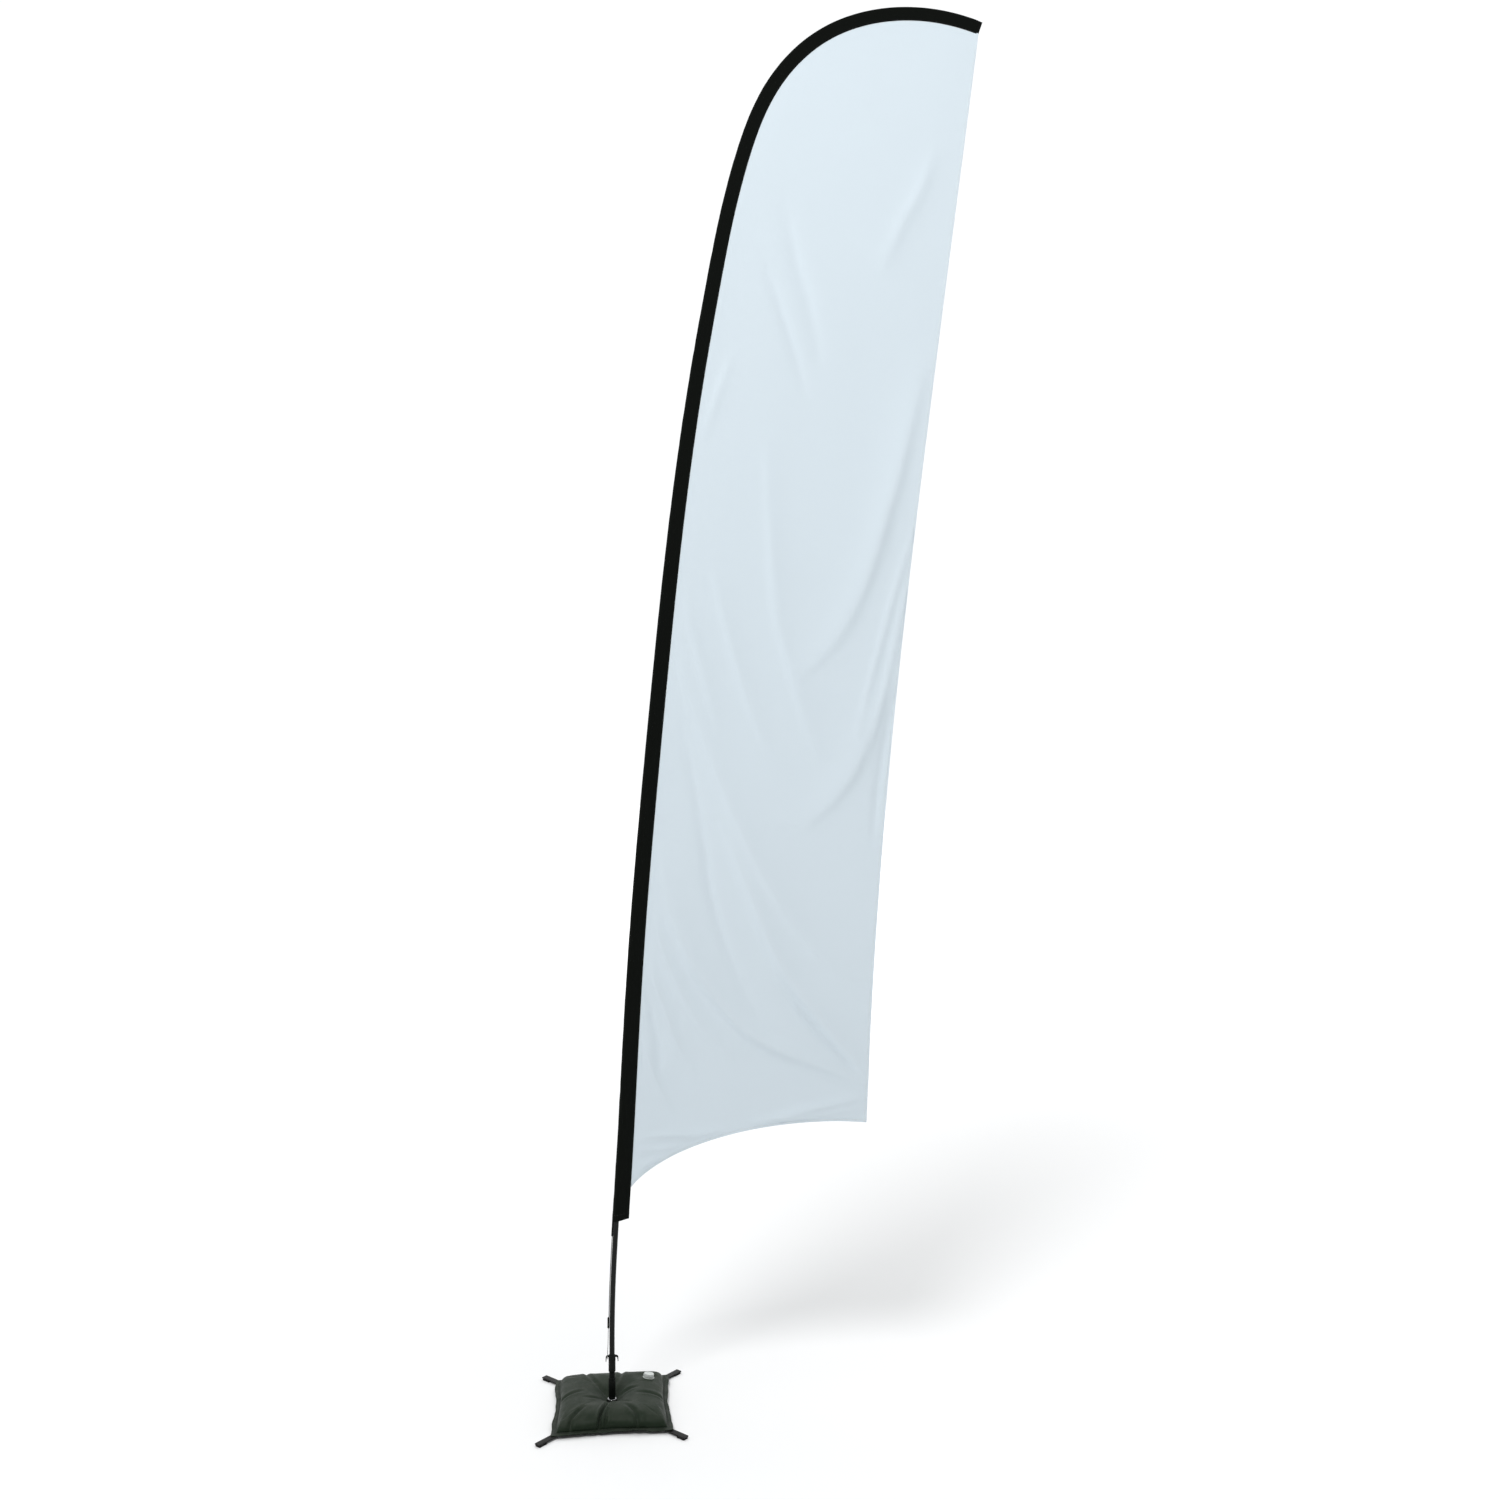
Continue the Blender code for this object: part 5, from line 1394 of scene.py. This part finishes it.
def sleeve_pieces():
    """Black pocket over the mast: two skins, a doubled hem at its foot, sewn shut at the tip."""
    marks = np.concatenate([np.arange(SLEEVE_START, SLEEVE_END - 0.04, 0.012),
                            np.linspace(SLEEVE_END - 0.036, SLEEVE_END, 10)])
    outer = sleeve_rings(marks, 0.0)
    inner_marks = marks[:-2]
    inner = sleeve_rings(inner_marks, 0.0009)
    sides = outer.shape[1]
    points = np.concatenate([outer[::-1], inner]).reshape(-1, 3)
    faces = quads(len(outer) + len(inner), sides, around=True)
    faces.append(tuple(range(sides)))
    faces.append(tuple(range(len(points) - sides, len(points)))[::-1])
    mesh = welded(mesh_from("sleeve_cloth", points, faces), 1e-7)
    sleeve = piece("sleeve_cloth", mesh, "mast", "black_fabric", ["flag_sleeve"], sharp=70.0)
    lines = []
    for face in (1.0, -1.0):
        line = mast_points(marks[3:-4], tail_at(marks[3:-4]) - 0.0030, -face * 0.0017)
        lines.append((line, np.tile([0.0, -face, 0.0], (len(line), 1))))
    centre = mast_points(SLEEVE_START + 0.026, 0.010)
    for height in (0.024, 0.0275):
        ring = sleeve_rings([SLEEVE_START + height], -0.0002)[0]
        ring = ring[1:-1]
        lines.append((ring, unit(ring - centre)))
    end = np.linspace(0.004, 0.042, 30)
    for face in (1.0, -1.0):
        line = mast_points(SLEEVE_END - 0.006, -0.006 + end, -face * 0.0019)
        lines.append((line, np.tile([0.0, -face, 0.0], (len(line), 1))))
    thread = stitches_mesh("sleeve_sewing", lines, 0.0044, 0.0012, THREAD_RADIUS, 5)
    sewing = piece("sleeve_sewing", thread, "mast", "dark_thread", sharp=180.0)


# ---------------------------------------------------------------- water bag


def bag_point(i, j, t):
    """A point of the filled top: direction (i, j) of a square ring, t from 0 at the hole to 1 at the seam."""
    i, j, t = (np.asarray(v, float) for v in (i, j, t))
    ring = np.maximum(np.abs(i), np.abs(j))
    far = np.hypot(i, j)
    reach = BAG_HOLE + (SEAM_HALF - BAG_HOLE) * t
    squareness = np.clip(t, 0.0, 1.0) ** 0.8
    scale = reach * ((1.0 - squareness) / far + squareness / ring)
    cos_double = (i**2 - j**2) / far**2
    scale = scale * (1.0 - BAG_WAIST * t**2 * cos_double**2)
    x, y = i * scale, j * scale
    rise = HOLE_TOP_Z + (BAG_CROWN - HOLE_TOP_Z) * np.sin(np.minimum(t / 0.42, 1.0) * np.pi / 2.0)
    side = np.maximum(0.0, 1.0 - (np.abs(x) / SEAM_HALF) ** 12) * (1.0 - 0.16 * (np.abs(x) / SEAM_HALF) ** 3)
    deep = np.maximum(0.0, 1.0 - (np.abs(y) / SEAM_HALF) ** 12) * (1.0 - 0.16 * (np.abs(y) / SEAM_HALF) ** 3)
    edge = np.maximum(0.0, 1.0 - t**24) ** 0.5
    z = BAG_SEAM_Z + (rise - BAG_SEAM_Z) * edge * np.sqrt(side * deep)
    return np.stack([x, y, z], axis=-1)


def valve_matrix():
    x, y = VALVE_XY
    outward = Vector((x, y, 0.0)).normalized()
    lean = Matrix.Rotation(math.radians(VALVE_TILT), 4, Vector((-outward.y, outward.x, 0.0)))
    return Matrix.Translation((x, y, VALVE_Z)) @ lean


def bag_net():
    """The bag's mesh before filling: start points, cut points, pins, faces and the seam's order."""
    cells = look("bag").grid_cells
    slack = look("bag").slack
    hole = max(2, round(cells * BAG_HOLE / SEAM_HALF))
    places = [(i, j) for i in range(-cells, cells + 1) for j in range(-cells, cells + 1)
              if max(abs(i), abs(j)) >= hole]
    grid = np.array(places, float)
    ring = np.abs(grid).max(axis=1)
    t = (ring - hole) / (cells - hole)
    upper = bag_point(grid[:, 0], grid[:, 1], t)
    steps = np.linspace(0.0, 1.0, 33)[:, None] * t[None, :]
    path = bag_point(grid[None, :, 0], grid[None, :, 1], steps)
    length = np.linalg.norm(np.diff(path, axis=0), axis=2).sum(axis=0)
    plan = np.linalg.norm(upper[:, :2], axis=1)
    spread = (BAG_HOLE + length * slack) / plan
    cut_upper = np.column_stack([upper[:, :2] * spread[:, None], np.zeros(len(plan))])

    seat = valve_matrix()
    axis = seat.to_3x3() @ Vector((0.0, 0.0, 1.0))
    base = seat @ Vector((0.0, 0.0, -VALVE_SEAT_DEPTH))
    off = np.hypot(upper[:, 0] - VALVE_XY[0], upper[:, 1] - VALVE_XY[1])
    level = base.z - ((upper[:, 0] - base.x) * axis.x + (upper[:, 1] - base.y) * axis.y) / axis.z
    share = smoothstep(off, 0.026, 0.046)
    upper[:, 2] = level * (1.0 - share) + upper[:, 2] * share
    corner = (np.abs(grid).min(axis=1) > 0.94 * cells) & (ring == cells)
    held_upper = ((ring <= hole) | (off < VALVE_SEAT_RADIUS) | corner).astype(float)

    inside = ring < cells
    lower = upper[inside].copy()
    rise = smoothstep(plan[inside], HUB_ROOM_RADIUS, 0.080)
    lower[:, 2] = HUB_ROOM_Z + (BAG_BOTTOM - HUB_ROOM_Z) * rise
    grown = 1.0 + (spread[inside] - 1.0) * smoothstep(t[inside], 0.70, 1.0)
    cut_lower = np.column_stack([lower[:, :2] * grown[:, None], np.full(len(lower), -0.012)])
    held_lower = (t[inside] < 0.86).astype(float)

    top = {place: k for k, place in enumerate(places)}
    bottom = dict(top)
    for k, place in enumerate(np.array(places)[inside].tolist()):
        bottom[tuple(place)] = len(places) + k
    faces = []
    for i in range(-cells, cells):
        for j in range(-cells, cells):
            corners = [(i, j), (i + 1, j), (i + 1, j + 1), (i, j + 1)]
            if all(c in top for c in corners):
                faces.append(tuple(top[c] for c in corners))
                faces.append(tuple(bottom[c] for c in corners)[::-1])
    order = ring_order(hole)
    for a, b in zip(order, order[1:] + order[:1]):
        faces.append((top[b], top[a], bottom[a], bottom[b]))
    seam = [top[c] for c in ring_order(cells)]
    start = np.concatenate([upper, lower])
    cut = np.concatenate([cut_upper, cut_lower])
    return start, cut, np.concatenate([held_upper, held_lower]), faces, seam


def ring_order(n):
    """Grid places round a square ring, anticlockwise from its lower right corner."""
    right = [(n, j) for j in range(-n, n)]
    back = [(i, n) for i in range(n, -n, -1)]
    left = [(-n, j) for j in range(n, -n, -1)]
    front = [(i, -n) for i in range(-n, n)]
    return right + back + left + front


def creased(points, normals):
    """Press the designed creases into the bag's top and sides."""
    press = np.zeros(len(points))
    plan = points[:, :2]
    for depth, width, line in BAG_CREASES:
        signed, share = signed_distance(plan, line)
        ends = np.sin(np.pi * np.clip(share * 0.9 + 0.05, 0.0, 1.0)) ** 0.6
        valley = np.exp(-((signed / width) ** 2))
        lips = np.exp(-(((np.abs(signed) - 2.0 * width) / (1.3 * width)) ** 2))
        press += depth * ends * (valley - 0.28 * lips)
    upper = smoothstep(points[:, 2], 0.0175, 0.030)
    near_valve = np.hypot(plan[:, 0] - VALVE_XY[0], plan[:, 1] - VALVE_XY[1])
    near_hole = np.hypot(plan[:, 0], plan[:, 1])
    press *= upper * smoothstep(near_valve, 0.028, 0.050) * smoothstep(near_hole, 0.024, 0.040)
    return points - normals * press[:, None]


def bag_pieces():
    """Filled bag with creases, its flat rim with a bead and stitches."""
    start, cut, held, faces, seam = bag_net()
    points = start
    trial = mesh_from("water_bag_trial", start, faces)
    _, result = settled("water_bag_trial", trial, held, BAG_FRAMES, pressure=look("bag").pressure,
                        cut=cut, stiffness=20.0, bend=0.8)
    points = within(start, result, BAG_MOVE)
    seam_line = points[seam]
    mesh = mesh_from("bag_skin", points, faces)
    normals = np.array([v.normal for v in mesh.vertices])
    points = creased(points, normals)
    points[:, 2] = np.maximum(points[:, 2], BAG_BOTTOM)
    points[seam] = seam_line
    mesh.vertices.foreach_set("co", points.astype(np.float32).ravel())
    mesh.update()
    bag = piece("bag_skin", mesh, "ballast", "coated_fabric", ["water_bag"], sharp=180.0, levels=1)
    rim_pieces(points[seam])


def rim_pieces(seam):
    """Flat sewn rim outside the seam: wavy, with square corners, a bead and a row of stitches."""
    wide = look("bag").rim_width
    plan = seam[:, :2]
    along = np.concatenate([[0.0], np.cumsum(np.linalg.norm(np.diff(plan, axis=0), axis=1))])
    runs = unit(np.roll(plan, -1, axis=0) - plan)
    after = np.column_stack([runs[:, 1], -runs[:, 0]])
    before = np.roll(after, 1, axis=0)
    outward = (before + after) / (1.0 + (before * after).sum(axis=1))[:, None]
    full = 2.0 * np.pi * along / (along[-1] + 0.005)
    wave = 0.0018 * np.sin(9 * full + 0.5) + 0.0013 * np.sin(17 * full + 2.0) + 0.0007 * np.sin(31 * full)
    narrow = 0.0012 * np.sin(13 * full + 1.0) + 0.0008 * np.sin(23 * full)
    front = plan[:, 1] < -0.15
    for x, half, draw, lift in ((-0.058, 0.009, 0.0050, 0.0025), (0.083, 0.014, 0.0040, 0.0050),
                                (0.122, 0.022, 0.0, 0.0060), (-0.150, 0.016, 0.0020, 0.0025)):
        bump = np.exp(-(((plan[:, 0] - x) / half) ** 2)) * front
        narrow -= draw * bump
        wave += lift * bump
    section = [(-0.0050, 0.0005), (0.0, 0.0011), (0.14, 0.0012), (0.20, 0.0006), (0.28, 0.0011),
               (0.55, 0.0009), (0.78, 0.0010), (0.84, 0.0017), (0.93, 0.0019), (0.98, 0.0015),
               (1.0, 0.0006)]
    outline = [(u, h) for u, h in section] + [(u, -h) for u, h in section[::-1]]
    points = []
    for p, n, w, d in zip(seam, outward, wave, narrow):
        for u, h in outline:
            reach = u if u < 0.0 else u * (wide + d * u)
            rise = h + w * max(0.0, u) ** 1.3 - 0.0020 * max(0.0, u)
            height = max(p[2] + rise, BAG_BOTTOM + 0.0002 + 0.3 * h)
            points.append((p[0] + n[0] * reach, p[1] + n[1] * reach, height))
    sides = len(outline)
    mesh = welded(mesh_from("bag_rim_band", points, quads(len(seam), sides, around=True, closed=True)))
    piece("bag_rim_band", mesh, "ballast", "bag_rim", sharp=60.0)
    share = 0.24
    reach = share * (wide + narrow * share)
    line = seam + np.column_stack([outward * reach[:, None], wave * share**1.3 + 0.0008])
    line = np.vstack([line, line[:1]])
    up = np.tile([0.0, 0.0, 1.0], (len(line), 1))
    thread = stitches_mesh("bag_rim_sewing", [(line, up)], 0.0042, 0.0012, 0.00045)
    piece("bag_rim_sewing", thread, "ballast", "dark_thread", sharp=180.0)


def valve_pieces():
    """Filler neck, ribbed screw cap, its seal and the tether that keeps it."""
    place = valve_matrix()
    neck = [(0.0140, 0.0080), (0.0147, 0.0077), (0.0150, 0.0068), (0.0146, 0.0062), (0.0150, 0.0056),
            (0.0150, 0.0046), (0.0146, 0.0040), (0.0150, 0.0034), (0.0150, -0.0012), (0.0156, -0.0020),
            (0.0232, -0.0022), (0.0240, -0.0028), (0.0240, -0.0044), (0.012, -0.0044), (0.012, 0.0080)]
    shape = turned_mesh("filler_neck_tube", neck, 0.0002)
    shape.transform(place)
    piece("filler_neck_tube", shape, "ballast", "clear_plastic", ["filler_neck"])
    cap = [(0.0, 0.0108), (0.0082, 0.0108), (0.0092, 0.0113), (0.0098, 0.0122), (0.0186, 0.0122),
           (0.0198, 0.0118), (0.0204, 0.0108), (0.0205, 0.0098), (0.0205, 0.0018), (0.0202, 0.0008),
           (0.0156, 0.0008), (0.0156, 0.0095), (0.0, 0.0095)]
    shape = turned_mesh("filler_cap_ribbed", cap, 0.0002, 160)
    for vertex in shape.vertices:
        x, y, z = vertex.co
        if math.hypot(x, y) > 0.0200 and z < 0.0112:
            rib = 1.0 - 0.022 * (0.5 + 0.5 * math.cos(40.0 * math.atan2(y, x)))
            vertex.co = (x * rib, y * rib, z)
    shape.transform(place)
    piece("filler_cap_ribbed", shape, "cap", "white_plastic", ["filler_cap"])
    seal = [(0.0147, 0.0092), (0.0150, 0.0090), (0.0150, 0.0085), (0.0147, 0.0083), (0.0124, 0.0083),
            (0.0124, 0.0092)]
    shape = turned_mesh("cap_seal_ring", seal, 0.0001)
    shape.transform(place)
    piece("cap_seal_ring", shape, "cap", "grey_rubber", ["cap_seal"])
    eye = (0.0, 0.0255)
    outline = arc((0.0, 0.0), 0.0195, 120.0, 420.0, 60) + arc(eye, 0.0060, 0.0, 180.0, 20)
    holes = [circle((0.0, 0.0), 0.0154, 48), circle(eye, 0.0028, 24)]
    shape = plate_mesh("tether_strap", [outline, *holes], 0.0012, 0.0003)
    turn = Matrix.Rotation(math.radians(40.0), 4, "Z")
    shape.transform(place @ Matrix.Translation((0.0, 0.0, -0.0003)) @ turn)
    piece("tether_strap", shape, "ballast", "clear_plastic", ["cap_tether"])


# ---------------------------------------------------------------- studio


def soft_light(name, place, target, size, power):
    lamp = bpy.data.lights.new(name, "AREA")
    lamp.shape = "DISK"
    lamp.size = size
    lamp.energy = power
    made = bpy.data.objects.new(name, lamp)
    bpy.context.scene.collection.objects.link(made)
    made.location = place
    made.rotation_mode = "QUATERNION"
    made.rotation_quaternion = (Vector(target) - Vector(place)).to_track_quat("-Z", "Y")


def make_sky(stage):
    """White surroundings: their light is strong overhead and behind, weak from the front."""
    world = bpy.data.worlds.new("studio_light")
    world.use_nodes = True
    g = Graph(world.node_tree)
    way = g.add("TexCoord").outputs["Generated"]
    behind = g.spread(g.split(way, "Y"), -0.7, 0.4, 0.15, 1.0)
    above = g.spread(g.split(way, "Z"), 0.15, 1.0, 0.0, 0.55)
    strength = g.math("MULTIPLY", g.math("ADD", behind, above), stage.sky_strength)
    seen = g.add("LightPath").outputs["Is Camera Ray"]
    strength = g.spread(seen, 0.0, 1.0, strength, 1.05)
    sky = world.node_tree.nodes["Background"]
    g.feed(sky, "Color", (0.985, 0.995, 1.0, 1.0))
    g.feed(sky, "Strength", strength)
    bpy.context.scene.world = world


def make_stage():
    """Pale floor that glows more with distance from the flag, painted light that fades it into the white
    surroundings and lightens the shadows on it, soft lamp and the level camera.
    """
    stage = look("stage")
    far = FLOOR_HALF
    corners = [(-far, -far, 0.0), (far, -far, 0.0), (far, far, 0.0), (-far, far, 0.0)]
    mesh = mesh_from("studio_floor", corners, [(0, 1, 2, 3)])
    floor = bpy.data.objects.new("studio_floor", mesh)
    bpy.context.scene.collection.objects.link(floor)
    f = Finish("glowing_studio_paper", Specular_IOR_Level=0.05)
    tone = f.group("uneven_tone", Colour=four(stage.floor_colour), Patches=0.004, Scale=0.6, Specks=0.004)
    f.set("Base Color", tone["Colour"])
    f.set("Roughness", f.spread(tone["Value"], 0.0, 1.0, 0.92, 0.96))
    # Painted light: the floor glows, from nothing near the flag up to far_glow at 12 m, which lightens the
    # shadows cast on it.
    away = f.add("VectorMath", {0: f.place()}, operation="LENGTH").outputs["Value"]
    f.set("Emission Color", (1.0, 1.0, 1.0, 1.0))
    f.set("Emission Strength", f.spread(away, 0.5, 12.0, 0.0, stage.far_glow))
    mesh.materials.append(f.material)

    make_sky(stage)
    bpy.context.scene.view_settings.view_transform = "Standard"
    soft_light("key_lamp", LAMP_PLACE, LAMP_TARGET, LAMP_SIZE, stage.key_power)

    camera = bpy.data.cameras.new("front_camera")
    camera.sensor_width = 36.0
    camera.lens = stage.camera_lens
    camera.clip_end = 200.0
    made = bpy.data.objects.new("front_camera", camera)
    bpy.context.scene.collection.objects.link(made)
    made.location = (0.0, -stage.camera_distance, stage.camera_height)
    made.rotation_euler = (math.radians(90.0), 0.0, -stage.camera_turn)
    bpy.context.scene.camera = made


# ---------------------------------------------------------------- operators and panel


class MakeFinishes(bpy.types.Operator):
    """Make the shader groups and every finish"""

    bl_idname = "feather_flag.finishes"
    bl_label = "Finishes"

    def execute(self, context):
        make_weave_group()
        make_tone_group()
        make_wear_group()
        make_dust_group()
        make_grain_group()
        make_finishes()
        return {"FINISHED"}


class MakeArms(bpy.types.Operator):
    """Build the four folding arms and their rubber pads"""

    bl_idname = "feather_flag.arms"
    bl_label = "Arms"

    def execute(self, context):
        arm_pieces()
        return {"FINISHED"}


class MakeHub(bpy.types.Operator):
    """Build the hub plates, spacer, bolt, rivets and pad"""

    bl_idname = "feather_flag.hub"
    bl_label = "Hub"

    def execute(self, context):
        hub_pieces()
        return {"FINISHED"}


class MakeSpindle(bpy.types.Operator):
    """Build the spindle, the chrome washer and the bearings"""

    bl_idname = "feather_flag.spindle"
    bl_label = "Spindle"

    def execute(self, context):
        spindle_pieces()
        return {"FINISHED"}


class MakeHousing(bpy.types.Operator):
    """Build the turning housing and its socket"""

    bl_idname = "feather_flag.housing"
    bl_label = "Housing"

    def execute(self, context):
        housing_pieces()
        return {"FINISHED"}


class MakeMast(bpy.types.Operator):
    """Build the mast sections, the spigot, the tip and the hook collar"""

    bl_idname = "feather_flag.mast"
    bl_label = "Mast"

    def execute(self, context):
        mast_pieces()
        collar_piece()
        return {"FINISHED"}


class MakeTensionLine(bpy.types.Operator):
    """Build the tab, the cord, the cord lock and the elastic loop"""

    bl_idname = "feather_flag.tension_line"
    bl_label = "Tension line"

    def execute(self, context):
        tension_line_pieces()
        return {"FINISHED"}


class MakeSleeve(bpy.types.Operator):
    """Build the mast sleeve and its sewing"""

    bl_idname = "feather_flag.sleeve"
    bl_label = "Sleeve"

    def execute(self, context):
        sleeve_pieces()
        return {"FINISHED"}


class MakePanel(bpy.types.Operator):
    """Build the flag panel, its hems and their sewing"""

    bl_idname = "feather_flag.panel"
    bl_label = "Panel"

    def execute(self, context):
        panel_pieces()
        return {"FINISHED"}


class MakeBag(bpy.types.Operator):
    """Fill the water bag and build its rim"""

    bl_idname = "feather_flag.bag"
    bl_label = "Water bag"

    def execute(self, context):
        bag_pieces()
        return {"FINISHED"}


class MakeValve(bpy.types.Operator):
    """Build the filler neck, cap, seal and tether"""

    bl_idname = "feather_flag.valve"
    bl_label = "Filler"

    def execute(self, context):
        valve_pieces()
        return {"FINISHED"}


class MakeStage(bpy.types.Operator):
    """Set up the floor, the light and the camera"""

    bl_idname = "feather_flag.stage"
    bl_label = "Studio"

    def execute(self, context):
        make_stage()
        return {"FINISHED"}


STEPS = (MakeFinishes, MakeStage, MakeArms, MakeHub, MakeSpindle, MakeHousing, MakeMast,
         MakeTensionLine, MakeSleeve, MakePanel, MakeBag, MakeValve)
SETTINGS = {"fabric": FeatherFlagFabric, "bag": FeatherFlagBag, "metal": FeatherFlagMetal,
            "stage": FeatherFlagStage}


class FeatherFlagPanel(bpy.types.Panel):
    """Lists the pieces and their settings in the sidebar"""

    bl_idname = "VIEW3D_PT_feather_flag"
    bl_label = "Feather Flag"
    bl_space_type = "VIEW_3D"
    bl_region_type = "UI"
    bl_category = "Feather Flag"

    def draw(self, context):
        for step in STEPS:
            self.layout.operator(step.bl_idname)
        for part in SETTINGS:
            box = self.layout.box()
            box.label(text=part.capitalize())
            group = look(part)
            for name in group.__annotations__:
                box.prop(group, name)


def register():
    for group in SETTINGS.values():
        bpy.utils.register_class(group)
    for part, group in SETTINGS.items():
        setattr(bpy.types.Scene, "feather_flag_" + part, bpy.props.PointerProperty(type=group))
    for step in STEPS:
        bpy.utils.register_class(step)
    bpy.utils.register_class(FeatherFlagPanel)


def unregister():
    bpy.utils.unregister_class(FeatherFlagPanel)
    for step in reversed(STEPS):
        bpy.utils.unregister_class(step)
    for part, group in SETTINGS.items():
        delattr(bpy.types.Scene, "feather_flag_" + part)
        bpy.utils.unregister_class(group)


def main():
    register()
    for step in STEPS:
        group, name = step.bl_idname.split(".")
        if getattr(getattr(bpy.ops, group), name)() != {"FINISHED"}:
            raise RuntimeError(step.bl_label + " didn't finish")


if __name__ == "__main__":
    main()
